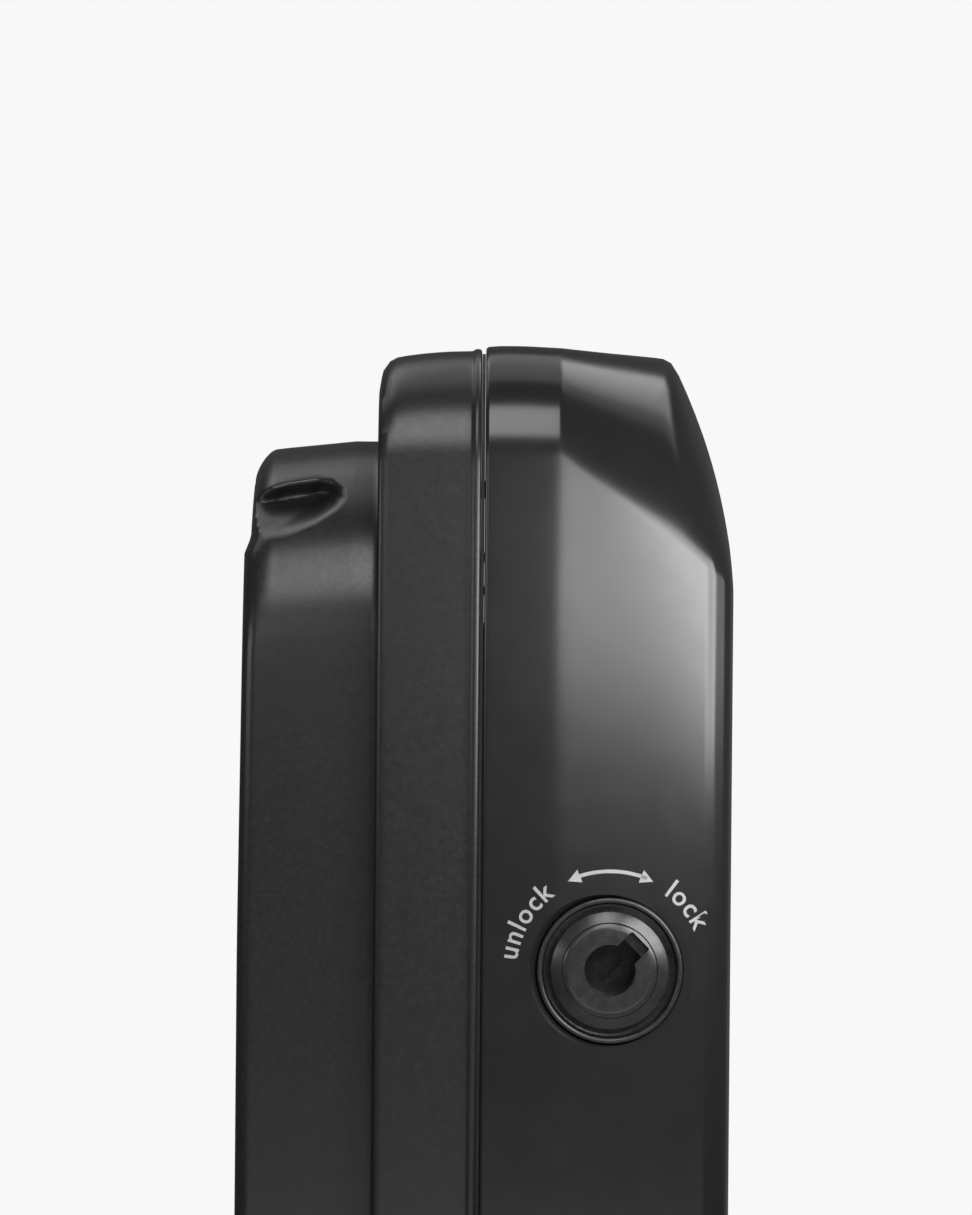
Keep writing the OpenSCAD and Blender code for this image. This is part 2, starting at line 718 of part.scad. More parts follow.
module fuse() {
    color("orange") block([fuse_x - 2.6, fuse_y[0], fuse_z + 3], [fuse_x + 2.6, fuse_y[1], fuse_z + 12.5]);
}
module discharge_socket() {
    t = 2;
    flange = 5.6;
    color("#1f1f20") difference() {
        union() {
            socket_space(-0.01, 0.6, wall + socket_h + t);
            intersection() {
                socket_space(flange, wall, wall + 1.8);
                block([-half_d + wall + 0.3, -pack_w, 0], [-parting_x - 1.5, pack_w, 10]);
            }
        }
        socket_space(-t, -1, wall + socket_h);
        for (s = [-1, 1]) bar_z(-socket_x, s * socket_screw_y, socket_screw_r + 0.1, -1, wall + 3);
        for (y = contact_y) block([-socket_x - blade_w - 0.1, y - blade_t / 2 - fit, wall + blade_base - 0.6],
            [-socket_x + blade_w + 0.1, y + blade_t / 2 + fit, tail_z + 1]);
    }
}
module discharge_contacts() {
    color("goldenrod") {
        for (y = contact_y) block([-socket_x - blade_w, y - blade_t / 2, wall + blade_base],
            [-socket_x + blade_w, y + blade_t / 2, tail_z]);
        block([-socket_x + blade_w, contact_y[4] - blade_t / 2, tail_z - 1.6],
            [positive_x + 1, contact_y[4] + blade_t / 2, tail_z]);
        block([-socket_x + blade_w, contact_y[0] - blade_t / 2, tail_z - 1.6],
            [negative_x + 1, contact_y[0] + blade_t / 2, tail_z]);
    }
}
module socket_screws() {
    color("silver") for (s = [-1, 1]) {
        bar_z(-socket_x, s * socket_screw_y, socket_screw_r, 0.4, wall + 1.8);
        bar_z(-socket_x, s * socket_screw_y, socket_screw_r + 1, wall + 1.8, wall + 3.2);
    }
}

module charge_port() {
    color("#1c1c1c") difference() {
        union() {
            bar_y(charge_x, charge_z, charge_r + 2, -port_y, -port_y + port_flange_t);
            bar_y(charge_x, charge_z, charge_r + 1.2, -port_y + port_flange_t, -port_y + charge_depth + 3);
        }
        bar_y(charge_x, charge_z, charge_r, -port_y - 1, -port_y + charge_mouth);
        bar_y(charge_x, charge_z, charge_r - 0.8, -port_y - 1, -port_y + charge_depth);
    }
}
module charge_pins() {
    color("goldenrod") translate([charge_x, -port_y + charge_mouth, charge_z]) for (a = [90, 210, 330])
        translate([charge_pin_path * cos(a), 0, charge_pin_path * sin(a)])
            rotate([-90, 0, 0]) cylinder(r = charge_pin_r, h = charge_depth - charge_mouth, $fn = 24);
}
module charge_nut() {
    color("silver") difference() {
        translate([charge_x, -port_y + port_wall, charge_z]) rotate([-90, 0, 0])
            cylinder(r = charge_r + 4.4, h = 3, $fn = 6);
        bar_y(charge_x, charge_z, charge_r + 1.2 + fit, -half_w, 0);
    }
}
module charge_cap() {
    back = -port_y - cap_gap;
    color("#1a1a1a") {
        bar_y(charge_x, charge_z, cap_r, back - cap_t, back);
        bar_y(charge_x, charge_z, charge_r - 1, back, -port_y + cap_plug);
        block([charge_x - strap_half, back - cap_t, charge_z + cap_r - 2],
            [charge_x + strap_half, back, cap_hinge_z]);
        bar_x(-cap_hinge_y, cap_hinge_z, trunnion_r, charge_x - strap_half - trunnion_len,
            charge_x + strap_half + trunnion_len);
    }
}

module power_button() {
    color("#303030") {
        bar_x(0, button_z, button_r, half_d - wall - 1.8, control_face, 48);
        bar_x(0, button_z, 1.6, control_x + board_t + 2.4 + button_travel, half_d - wall - 1.8);
    }
}
module button_bezel() {
    color("#8a8a8a") difference() {
        bar_x(0, button_z, button_r + 1.5, half_d - 2.2, half_d - 0.4, 48);
        bar_x(0, button_z, button_r + run, half_d - 8, half_d + 2, 48);
    }
}
module indicator_window() { color("#505050") window_block(0, half_d - wall - 1.6, half_d - 0.3); }
module control_board() {
    color("darkgreen") difference() {
        block([control_x, -9, board_screw_z[0] - 3.2], [control_x + board_t, 9, board_screw_z[1] + 3.2]);
        for (z = board_screw_z) bar_x(0, z, 1.1, control_x - 1, control_x + 3);
    }
}
module control_lamps() {
    color("white") {
        for (i = [0:3]) block([control_x + board_t, -1, window_z - 7 + i * 4],
            [control_x + board_t + 1.2, 1, window_z - 5 + i * 4]);
        block([control_x + board_t, -3, button_z - 3], [control_x + board_t + 2.4, 3, button_z + 3]);
        for (z = board_screw_z) {
            bar_x(0, z, 1.9, control_x - 1.2, control_x);
            bar_x(0, z, 0.9, control_x, control_x + 4);
        }
    }
}

module lock_bezel() {
    color("#1b1b1b") difference() {
        bar_y(lock_x, lock_z, bezel_r, -pad_y - 0.3, -pad_y + seat_depth);
        bar_y(lock_x, lock_z, bezel_r - 1, -pad_y - 2, -pad_y + bezel_depth);
        bar_y(lock_x, lock_z, barrel_r + fit, -half_w, 0);
    }
}
module lock_body() {
    color("#262626") difference() {
        union() {
            translate([lock_x, -pad_y + bezel_depth, lock_z]) rotate([90, 0, 0]) {
                cylinder(r = lock_face_r, h = bezel_depth - 0.4);
                translate([0, 0, bezel_depth - 0.4]) cylinder(r1 = lock_face_r, r2 = rotor_r + 0.7, h = 1);
            }
            bar_y(lock_x, lock_z, barrel_r, -pad_y + bezel_depth, -barrel_end);
        }
        bar_y(lock_x, lock_z, rotor_r + fit, -half_w, -pad_y - 0.5 + disc_t + 0.3);
        bar_y(lock_x, lock_z, spindle_r + fit, -half_w, -barrel_end + 1);
    }
}
module lock_nut() {
    color("silver") difference() {
        translate([lock_x, -pad_y + seat_depth + shelf_t, lock_z]) rotate([-90, 0, 0])
            cylinder(r = barrel_r + 4.4, h = nut_t, $fn = 6);
        bar_y(lock_x, lock_z, barrel_r + fit, -half_w, 0);
    }
}

// Everything that turns with the key, drawn with the keyhole's slot 45 degrees clockwise of up
module lock_rotor() {
    face = -pad_y - 0.5;
    color("#333333") difference() {
        union() {
            bar_y(lock_x, lock_z, rotor_r, face, face + disc_t);
            bar_y(lock_x, lock_z, spindle_r, face + disc_t, -cam_y - cam_t);
        }
        bar_y(lock_x, lock_z, keyhole_r, face - 1, plug_y);
        bar_y(lock_x, lock_z, plug_r + fit, plug_y - 1, -barrel_end - 1.6);
        translate([lock_x, 0, lock_z]) rotate([0, 45, 0]) {
            translate([-key_slot_w / 2, face - 1, 0]) cube([key_slot_w, 1 + disc_t - 0.3, key_slot_reach]);
            translate([-key_slot_w / 2, face - 1, 0]) cube([key_slot_w, plug_y - face, spindle_r - 0.8]);
        }
    }
}
module lock_plug() {
    color("goldenrod") difference() {
        bar_y(lock_x, lock_z, plug_r, plug_y, -barrel_end - 1.6);
        translate([lock_x, 0, lock_z]) rotate([0, 45, 0])
            translate([-0.7, plug_y - 1, -2.8]) cube([1.4, 3, 5.6]);
    }
}
module lock_cam() {
    pin_x = lock_x + pin_path_r * cos(45);
    color("silver") {
        bar_y(lock_x, lock_z, pin_path_r + pin_r + 1, -cam_y - cam_t, -cam_y);
        bar_y(pin_x, pin_z, pin_r, -cam_y, -plate_y + 0.8);
    }
}

module latch_plate() {
    yoke_x = [lock_x + pin_path_r * cos(45) - pin_r - yoke_gap, lock_x + pin_path_r + pin_r + yoke_gap];
    color("lightgrey") difference() {
        union() {
            block([bolt_x - 3.6, -plate_y - plate_t, plate_low], [yoke_x[1] + 3, -plate_y, plate_high]);
            block([bolt_x - 3.6, -plate_y - plate_t, plate_high - arm_t], [bolt_x + 7, 4.4, plate_high]);
        }
        block([yoke_x[0], -plate_y - 9, pin_z - pin_r - yoke_gap], [yoke_x[1], 0, pin_z + pin_r + yoke_gap]);
        for (x = stud_x) block([x - pin_r - run, -plate_y - 9, stud_z - latch_travel - pin_r - 1],
            [x + pin_r + run, -plate_y + 9, stud_z + pin_r + 1]);
        bar_z(bolt_x, 0, bolt_r - 0.6 + fit, plate_high - 5, plate_high + 1);
    }
}
module latch_bolt() {
    color("silver") {
        bar_z(bolt_x, 0, bolt_r, pocket_z - pocket_h / 2 + 0.6, plate_high - arm_t);
        bar_z(bolt_x, 0, bolt_r - 0.6, plate_high - arm_t, plate_high);
    }
}
module latch_screws() {
    color("silver") for (x = stud_x) {
        bar_y(x, stud_z, 4, -plate_y + run, -plate_y + run + 1.6);
        bar_y(x, stud_z, pin_r, -plate_y + run, -plate_y - plate_t - run - 6);
    }
}

outer_shell();
inner_shell();
shell_gasket();
shell_screws();
thread_inserts();
lower_holder_left();
lower_holder_right();
upper_holder_left();
upper_holder_right();
nickel_strips_left();
nickel_strips_right();
insulation_sheets();
foam_pads();
bms_standoffs();
bms_board();
bms_transistors();
bms_heat_sink();
bms_connector();
bms_screws();
balance_harness();
pack_wire_positive();
pack_wire_negative();
discharge_wires();
charge_wires();
fuse_holder();
fuse();
discharge_socket();
discharge_contacts();
socket_screws();
charge_port();
charge_pins();
charge_nut();
charge_cap();
power_button();
button_bezel();
indicator_window();
control_board();
control_lamps();
lock_bezel();
lock_body();
lock_nut();
lock_rotor();
lock_plug();
lock_cam();
latch_plate();
latch_bolt();
latch_screws();
for (i = [0:groups - 1]) cell_group(i);
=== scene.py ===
import math

import bmesh
import bpy
import numpy as np
from mathutils import Matrix, Vector


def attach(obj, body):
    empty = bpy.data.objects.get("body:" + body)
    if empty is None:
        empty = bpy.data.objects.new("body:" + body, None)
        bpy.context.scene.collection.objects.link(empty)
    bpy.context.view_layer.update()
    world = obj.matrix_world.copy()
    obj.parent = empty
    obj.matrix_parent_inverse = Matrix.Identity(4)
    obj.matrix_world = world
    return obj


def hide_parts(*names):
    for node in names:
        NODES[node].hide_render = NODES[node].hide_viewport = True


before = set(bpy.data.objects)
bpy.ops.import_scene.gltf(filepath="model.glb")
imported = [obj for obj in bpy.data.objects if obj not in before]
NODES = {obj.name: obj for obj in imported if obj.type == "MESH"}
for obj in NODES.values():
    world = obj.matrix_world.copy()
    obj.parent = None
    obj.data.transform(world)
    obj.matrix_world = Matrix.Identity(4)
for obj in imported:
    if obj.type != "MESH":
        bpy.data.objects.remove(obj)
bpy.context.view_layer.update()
MM = 0.001
SEAM = 3e-6                                             # metres: points this near after a boolean are one

# ---------------------------------------------------------------- sizes, in millimetres
HALF_D, HALF_W, WALL, FOOT_R = 44.0, 42.0, 2.6, 5.0
PART_IN, PART_OUT = -1.45, -0.75                        # rims of the two casings at the parting line
CREASE_X, LEAN = 12.6, math.radians(6.0)                # where the side starts to lean in, and by how much
CORNER_R = 5.0                                          # the long corner beside the outer face
CORNER_X = HALF_D - CORNER_R - 1.0                      # its centre, with 1 mm left for the face's crown
CORNER_FROM, CORNER_TO = 84, 8                          # its arc, in degrees from the outer face's direction
EDGE_X = CORNER_X + CORNER_R * math.cos(math.radians(CORNER_TO))
SHOULDER_Z, SHOULDER_ROUND = 372.0, 20.0                # where the shoulders start, and how wide they are
NOSE_DROP, NOSE_ROUND = 0.755, 43.0                     # their fall per mm past the crease, and last width
CREST_HALF = 1.6                                        # least half width of a section's level crest
STEP_X = -19.7                                          # where the wide part steps in to the narrow part
TONGUE_HALF, TONGUE_TOP, TONGUE_ROUND = 37.5, 375.1, 36.0
TONGUE_SIDE_R, TONGUE_TOP_R, TONGUE_TOE_R = 2.5, 6.0, 1.0
TONGUE_FALL = 1.5                                       # how much lower its top is at the frame face
LOCK_X, LOCK_Z = 22.0, 281.5
CHARGE_X, CHARGE_Z, PORT_Y, STRAP_HALF = 11.0, 24.0, -39.4, 4.0
BUTTON_Z, WINDOW_Z = 290.0, 272.5
SCREWS = ((31.0, 9.0), (27.0, 258.5), (8.0, 366.6))     # y and z of each pair's screw on the +Y side
SOCKET_X = -22.0


# ---------------------------------------------------------------- mesh helpers
def arc(cx, cz, r, a0, a1, n):
    """Points of a circle's arc: centre plus radius times (cos, sin) of evenly spaced angles in degrees."""
    a = np.radians(np.linspace(a0, a1, n))
    return np.stack([cx + r * np.cos(a), cz + r * np.sin(a)], 1)


def place_piece(name, mesh, body, material, smooth=38.0):
    """Links a finished mesh as a piece, with its material and its body."""
    mesh.validate()
    obj = bpy.data.objects.new(name, mesh)
    bpy.context.scene.collection.objects.link(obj)
    mesh.materials.clear()
    mesh.materials.append(material)
    mesh.polygons.foreach_set("use_smooth", [True] * len(mesh.polygons))
    mesh.set_sharp_from_angle(angle=math.radians(smooth))
    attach(obj, body)
    return obj


def grid_faces(rows, cols):
    """Quads between rows of cols points, where each row closes into a loop."""
    r, c = np.arange(rows - 1)[:, None] * cols, np.arange(cols)[None, :]
    d = (c + 1) % cols
    return np.stack([r + c, r + d, r + cols + d, r + cols + c], -1).reshape(-1, 4).tolist()


def loft(loops, first_pole, last_pole):
    """A closed skin through a stack of loops of equally many points; triangles close each end on a pole."""
    loops = np.asarray(loops, float)
    rows, cols, _ = loops.shape
    verts = np.concatenate([loops.reshape(-1, 3), [first_pole], [last_pole]])
    faces = grid_faces(rows, cols)
    c = np.arange(cols)
    d = (c + 1) % cols
    a, b = rows * cols, rows * cols + 1
    faces += np.stack([np.full(cols, a), d, c], 1).tolist()
    last = (rows - 1) * cols
    faces += np.stack([np.full(cols, b), last + c, last + d], 1).tolist()
    return verts, faces


def merged(mesh, near, turn_out=False):
    """Merges points nearer than near, which closes hairline seams; turn_out also turns every face outwards."""
    b = bmesh.new()
    b.from_mesh(mesh)
    bmesh.ops.remove_doubles(b, verts=b.verts, dist=near)
    if turn_out:
        bmesh.ops.recalc_face_normals(b, faces=b.faces)
    b.to_mesh(mesh)
    b.free()
    return mesh


def closed_mesh(name, verts, faces):
    """A mesh from points in millimetres, doubles merged and faces turned outwards."""
    mesh = bpy.data.meshes.new(name)
    mesh.from_pydata((np.asarray(verts, float) * MM).tolist(), [], faces)
    return merged(mesh, 1e-6, True)


def along_y(cx, cz):
    """Placing for turned pieces whose axis runs along Y through (cx, cz)."""
    return lambda p: np.stack([cx + p[:, 0], p[:, 2], cz + p[:, 1]], -1)


def along_x(cy, cz):
    """Placing for turned pieces whose axis runs along X through (cy, cz)."""
    return lambda p: np.stack([p[:, 2], cy + p[:, 0], cz + p[:, 1]], -1)


def lathe(profile, turns):
    """A surface of revolution in local (u, v, w): each profile point (r, w) gives (r cos a, r sin a, w), for a
    full turn of a."""
    profile = np.asarray(profile, float)
    a = np.linspace(0, 2 * math.pi, turns, endpoint=False)
    r, w = profile[:, 0][:, None], profile[:, 1][:, None]
    return np.stack([r * np.cos(a), r * np.sin(a), w + 0 * a], -1)


def lathe_solid(name, profile, place, turns=96):
    """A lathe's mesh, whose profile runs from pole to pole; place maps local (u, v, w) to (x, y, z)."""
    verts, faces = loft(lathe(profile[1:-1], turns), [0.0, 0.0, profile[0][1]], [0.0, 0.0, profile[-1][1]])
    return closed_mesh(name, place(verts), faces)


def ring_solid(name, profile, place, turns=96):
    """A ring: a closed profile loop of (radius, along) turned about its axis."""
    pts = lathe(profile, turns)
    rows, cols, _ = pts.shape
    r, c = np.arange(rows)[:, None], np.arange(cols)[None, :]
    r2, c2 = (r + 1) % rows, (c + 1) % cols
    quads = np.stack([r * cols + c, r * cols + c2, r2 * cols + c2, r2 * cols + c], -1).reshape(-1, 4)
    return closed_mesh(name, place(pts.reshape(-1, 3)), quads.tolist())


def object_of(mesh):
    """A plain object for a cutter or a blank."""
    obj = bpy.data.objects.new(mesh.name, mesh)
    bpy.context.scene.collection.objects.link(obj)
    return obj


def carve(mesh, tools, how="DIFFERENCE"):
    """The mesh with each tool taken away from it, or joined to it, by exact booleans; the tools are removed."""
    blank = object_of(mesh)
    for tool in tools:
        cutter = object_of(tool)
        mod = blank.modifiers.new("cut", "BOOLEAN")
        mod.operation = how
        mod.solver = "EXACT"
        mod.object = cutter
        deps = bpy.context.evaluated_depsgraph_get()
        done = merged(bpy.data.meshes.new_from_object(blank.evaluated_get(deps)), SEAM)
        blank.modifiers.clear()
        old = blank.data
        blank.data = done
        done.name = mesh.name
        if old is not mesh:
            bpy.data.meshes.remove(old)
        bpy.data.objects.remove(cutter)
        bpy.data.meshes.remove(tool)
    done = blank.data
    bpy.data.objects.remove(blank)
    return done


# ---------------------------------------------------------------- the casing's form
# x and z along the top of the outer casing and of the frame-side casing's wide part, down the middle.
OUTER_SIDE = np.concatenate([
    [[-3.0, 391.62], [2.0, 392.0], [6.0, 392.0], [12.6, 391.7], [20.0, 391.1], [26.0, 390.7]],
    arc(30.0, 386.4, 4.0, 85, 24, 16),
    arc(-56.0, 343.5, 100.0, 26.4, 0, 40)])
MIDDLE_SIDE = np.concatenate([
    [[-19.7, 384.5]], arc(-15.3, 386.0, 4.0, 165, 98, 16), [[-13.1, 390.4], [-8.1, 390.9], [-1.0, 391.1]]])
# z, and how far the frame face sets back there.
FRAME_FACE = np.array([
    [0.0, 0.0], [286.2, 0.0], [340.2, 0.5], [354.6, 0.6], [357.6, 1.7], [364.5, 1.9], [376.0, 2.3]])
N_FOOT, N_SIDE, N_ARC, N_FLAT = 7, 46, 54, 16           # points of a section's foot, side, shoulder and crest


def section(x, w, top, a, b, foot=FOOT_R, low=0.0, warp=None):
    """One closed loop at depth x: a flat foot, foot arcs, upright sides, elliptical shoulders a wide and b
    high, and a level crest. warp spaces the shoulder's points."""
    a, b = min(a, w - CREST_HALF), min(b, top - low - foot - 1.0)
    f = min(foot, w - 0.3)
    z0 = top - b
    side = np.linspace(0, 1, N_SIDE, endpoint=False)
    toe = np.radians(np.linspace(-90, 0, N_FOOT))
    turn = math.pi / 2 * (np.linspace(0, 1, N_ARC) if warp is None else warp)
    half = np.concatenate([
        np.stack([np.linspace(0, w - f, N_FLAT, endpoint=False), np.full(N_FLAT, low)], 1),
        np.stack([w - f + f * np.cos(toe), low + f + f * np.sin(toe)], 1)[:-1],
        np.stack([np.full(N_SIDE, w), low + f + (z0 - low - f) * side], 1),
        np.stack([w - a + a * np.cos(turn), z0 + b * np.sin(turn)], 1),
        np.stack([np.linspace(w - a, 0, N_FLAT)[1:], np.full(N_FLAT - 1, top)], 1)])
    loop = np.concatenate([half, half[1:-1][::-1] * [-1, 1]])
    return np.c_[np.full(len(loop), x), loop]


def zipped(loops):
    """A closed skin through a stack of mirrored loops: each end is zipped shut across the middle plane."""
    loops = np.asarray(loops, float)
    rows, cols, _ = loops.shape
    faces = grid_faces(rows, cols)
    half, first = cols // 2, N_FLAT + 1
    last = half - N_FLAT
    foot = list(range(cols - first, cols)) + list(range(first + 1))
    crown = list(range(last, half + 1)) + list(range(half + 1, cols - last + 1))
    i = np.arange(first, last)
    ends = [foot, crown] + np.stack([i, i + 1, cols - i - 1, cols - i], 1).tolist()
    for base in (0, (rows - 1) * cols):
        faces += [[base + q for q in face] for face in ends]
    return loops.reshape(-1, 3), faces


def side_width(x):
    """Half width of the outer casing: 42 mm to the crease, a soft bend into a 6 degree lean, the long
    corner's arc, and the face's slight crown."""
    bend = 0.7
    lean = math.tan(LEAN) * bend * np.logaddexp(0.0, (x - CREASE_X) / bend)
    cy = HALF_W - (CORNER_X - CREASE_X) * math.tan(LEAN) - CORNER_R / math.cos(LEAN)
    if x <= CORNER_X + CORNER_R * math.cos(math.radians(CORNER_FROM)):
        return HALF_W - lean
    if x <= EDGE_X:
        return cy + math.sqrt(max(CORNER_R ** 2 - (x - CORNER_X) ** 2, 0.0))
    w = cy + CORNER_R * math.sin(math.radians(CORNER_TO))
    return w * math.sqrt(max(HALF_D - x, 0.0) / (HALF_D - EDGE_X))


def crest(x):
    """Height of the outer casing at the middle for a given x, from its side outline."""
    return float(np.interp(x, OUTER_SIDE[:, 0], OUTER_SIDE[:, 1]))


def rounded(past, r):
    """How far a corner of radius r has turned in at a distance past its start: r - sqrt(r^2 - past^2)."""
    return r - math.sqrt(max(r ** 2 - max(past, 0.0) ** 2, 0.0))


def outer_section(x, inset=0.0):
    """A loop of the outer casing: beyond the crease its shoulder starts lower and grows wider, down to the
    outer face."""
    w = side_width(min(x + inset, HALF_D - 1e-6)) - inset
    top = crest(min(x + inset, HALF_D)) - inset
    past = max(x - CREASE_X, 0.0)
    a = SHOULDER_ROUND + past * (NOSE_ROUND - SHOULDER_ROUND) / (HALF_D - CREASE_X)
    start = SHOULDER_Z - NOSE_DROP * past
    b = max(top + inset - start, 1.2) - inset * 0.3
    low = rounded(x + inset - (HALF_D - FOOT_R), FOOT_R) + inset
    return section(x, max(w, 0.05), top, a - inset, b, max(FOOT_R - inset, 1.0), low)


def outer_blank():
    """The outer casing as one hollow skin: inner loops from the face's inside to the rim, then outer loops
    from the rim to the face. The rim is rounded over a quarter turn t: its x grows by 0.7 (1 - cos t), and its
    inset is 0.55 (1 - sin t)."""
    inner_x = [HALF_D - WALL - 0.02, *np.linspace(HALF_D - WALL - 0.6, CREASE_X, 12), 5.0, PART_OUT]
    loops = [outer_section(x, WALL) for x in inner_x]
    turn = np.radians(np.linspace(0, 90, 7))
    loops += [outer_section(PART_OUT + 0.7 * (1 - math.cos(t)), 0.55 * (1 - math.sin(t))) for t in turn]
    crown_share = np.array([0.95, 0.88, 0.8, 0.7, 0.6, 0.5, 0.4, 0.3, 0.2, 0.1])
    outer_x = np.concatenate([
        np.linspace(0.3, CREASE_X - 3, 7), CREASE_X + np.linspace(-2.4, 2.4, 13),
        np.linspace(CREASE_X + 4, CORNER_X + 0.2, 16),
        CORNER_X + CORNER_R * np.cos(np.radians(np.linspace(CORNER_FROM, CORNER_TO, 20))),
        HALF_D - (HALF_D - EDGE_X) * crown_share ** 2])
    loops += [outer_section(x) for x in outer_x]
    return zipped(loops)


def middle_section(x, inset=0.0, rise=0.0):
    """A loop of the frame-side casing's wide part; rise lifts it evenly, as beside the parting line."""
    crown = float(np.interp(x, MIDDLE_SIDE[:, 0], MIDDLE_SIDE[:, 1]))
    b = crown + rise - SHOULDER_Z + 1.5 - inset
    return section(x, HALF_W - inset + rise, crown - inset + rise, SHOULDER_ROUND - inset, b,
                   max(FOOT_R - inset, 1.0), inset)


# Shares of the narrow part's shoulder, with its points set close where the finger grip is.
GRIP_WARP = np.interp(np.linspace(0, 1, N_ARC), [0.0, 0.10, 0.90, 1.0], [0.0, 0.30, 0.62, 1.0])


def tongue_section(x, inset=0.0, shrink=0.0):
    """A loop of the narrow part, closed over a wide shoulder; towards the frame face its corners turn in and
    the face sets back above the grip."""
    depth = -x
    past = depth + inset - HALF_D
    w = TONGUE_HALF - rounded(past + TONGUE_SIDE_R, TONGUE_SIDE_R) - inset - shrink
    flat_top = TONGUE_TOP - TONGUE_FALL * min(max((depth - 24.0) / 14.0, 0.0), 1.0)
    top = flat_top - rounded(past + TONGUE_TOP_R, TONGUE_TOP_R) - inset - shrink
    low = rounded(past + TONGUE_TOE_R, TONGUE_TOE_R) + inset
    a = TONGUE_ROUND - inset
    loop = section(x, w, top, a, a - 1.5, max(FOOT_R - inset, 1.0), low, GRIP_WARP)
    back = np.interp(loop[:, 2], FRAME_FACE[:, 0], FRAME_FACE[:, 1])
    near = np.clip((depth + inset - 36.0) / 8.0, 0.0, 1.0)
    loop[:, 0] += back * near * near * (3 - 2 * near)
    return loop


# The outline of the finger grip, in x and z.
GRIP_EDGE = np.array([
    [-46.0, 363.9], [-41.9, 365.1], [-36.0, 366.9], [-30.5, 367.8], [-27.8, 367.6], [-26.2, 366.2],
    [-26.1, 364.6], [-27.6, 362.9], [-31.0, 360.6], [-36.1, 357.9], [-41.1, 356.2], [-46.0, 355.6]])
# The grip's floor: z, and how far out from the middle plane it is there.
GRIP_FLOOR = np.array([
    [355.2, 34.6], [357.0, 32.2], [361.0, 26.2], [364.0, 21.0], [366.0, 19.2], [368.5, 18.6]])
# The rim and the bead beside the parting line: distance from the rim, inset of the loop, and its rise.
BEAD = ((0.0, 0.30, 0.0), (0.06, 0.0, 0.0), (0.22, 0.0, 0.22), (0.5, 0.0, 0.34), (1.0, 0.0, 0.35),
        (1.3, 0.0, 0.24), (1.55, 0.0, 0.06), (1.9, 0.0, 0.0))


def edge_distance(px, pz, poly):
    """Signed distance in the plane to a closed outline, positive inside: the nearest of all its sides, with
    the sign from how often a line to the right crosses it."""
    a, b = poly, np.roll(poly, -1, 0)
    p = np.stack([px, pz], -1)[:, None, :]
    d = b - a
    t = np.clip(((p - a) * d).sum(-1) / (d ** 2).sum(-1), 0, 1)
    near = np.sqrt((((a + t[..., None] * d) - p) ** 2).sum(-1)).min(1)
    crosses = ((a[:, 1] > p[..., 1]) != (b[:, 1] > p[..., 1]))
    at = a[:, 0] + (p[..., 1] - a[:, 1]) / np.where(d[:, 1] == 0, 1e-9, d[:, 1]) * d[:, 0]
    inside = (crosses & (p[..., 0] < at)).sum(1) % 2 == 1
    return np.where(inside, near, -near)


def press_grips(v, grow=0.0):
    """Pushes both side walls in at the finger grips: down to a floor that is deepest under the upper edge and
    runs out below, with softly rounded lips. The push is a share s^2 (3 - 2 s) of the floor's depth, where s is
    (distance inside the edge + 0.9) / 3.4, kept from 0 to 1."""
    sel = (v[:, 2] > 350) & (v[:, 2] < 372) & (v[:, 0] < -20.5) & (np.abs(v[:, 1]) > 8)
    x, y, z = v[sel, 0], np.abs(v[sel, 1]), v[sel, 2]
    lip = np.clip((edge_distance(x, z, GRIP_EDGE) + grow + 0.9) / 3.4, 0, 1)
    lip = lip * lip * (3 - 2 * lip)
    floor = np.interp(z, GRIP_FLOOR[:, 0], GRIP_FLOOR[:, 1]) - grow
    tip = np.clip((-24.8 - x) / 6.0, 0, 1)
    floor = y + (floor - y) * (0.35 + 0.65 * tip)
    v[sel, 1] = np.sign(v[sel, 1]) * np.minimum(y, y + (floor - y) * lip)
    return v


def inner_blank():
    """The frame-side casing as one hollow skin: cavity loops, the rim with its bead, the wide part, the
    step's ledge, and the narrow part to the frame face."""
    deep = (HALF_D - WALL - 0.02, HALF_D - WALL - 0.5, 39.5, 36, 33, 30, 27, 24, 21, 18.0)
    loops = [tongue_section(-x, WALL) for x in deep]
    loops += [middle_section(-x, WALL) for x in (17.0, 15.0, 10.0, 5.0, -PART_IN)]
    inside = len(loops)
    loops += [middle_section(PART_IN - back, inset, rise) for back, inset, rise in BEAD]
    loops += [middle_section(-x) for x in (4.5, 7.0, 9.5, 12.0, 14.5, 16.5, 17.8)]
    for t in np.radians(np.linspace(0, 90, 6)[1:]):
        loops.append(middle_section(STEP_X + 1 - math.sin(t), 1 - math.cos(t)))
    ledge, narrow = loops[-1], tongue_section(STEP_X)
    for share in (0.25, 0.5, 0.75, 0.9):
        mix = ledge * (1 - share) + narrow * share
        mix[:, 0] = STEP_X
        loops.append(mix)
    loops.append(tongue_section(STEP_X - 0.12, 0.0, -0.10))
    loops += [tongue_section(-x) for x in np.concatenate([
        [20.2, 20.9, 21.8, 22.8], np.arange(23.4, 30.0, 0.35), np.arange(30.0, 39.4, 0.6)])]
    loops += [tongue_section(-(39.5 + 4.5 * math.sin(t))) for t in np.radians(np.linspace(0, 90, 12))]
    verts, faces = zipped(loops)
    n = len(loops[0]) * inside
    verts[:n] = press_grips(verts[:n], 2.2)
    verts[n:] = press_grips(verts[n:])
    return verts, faces


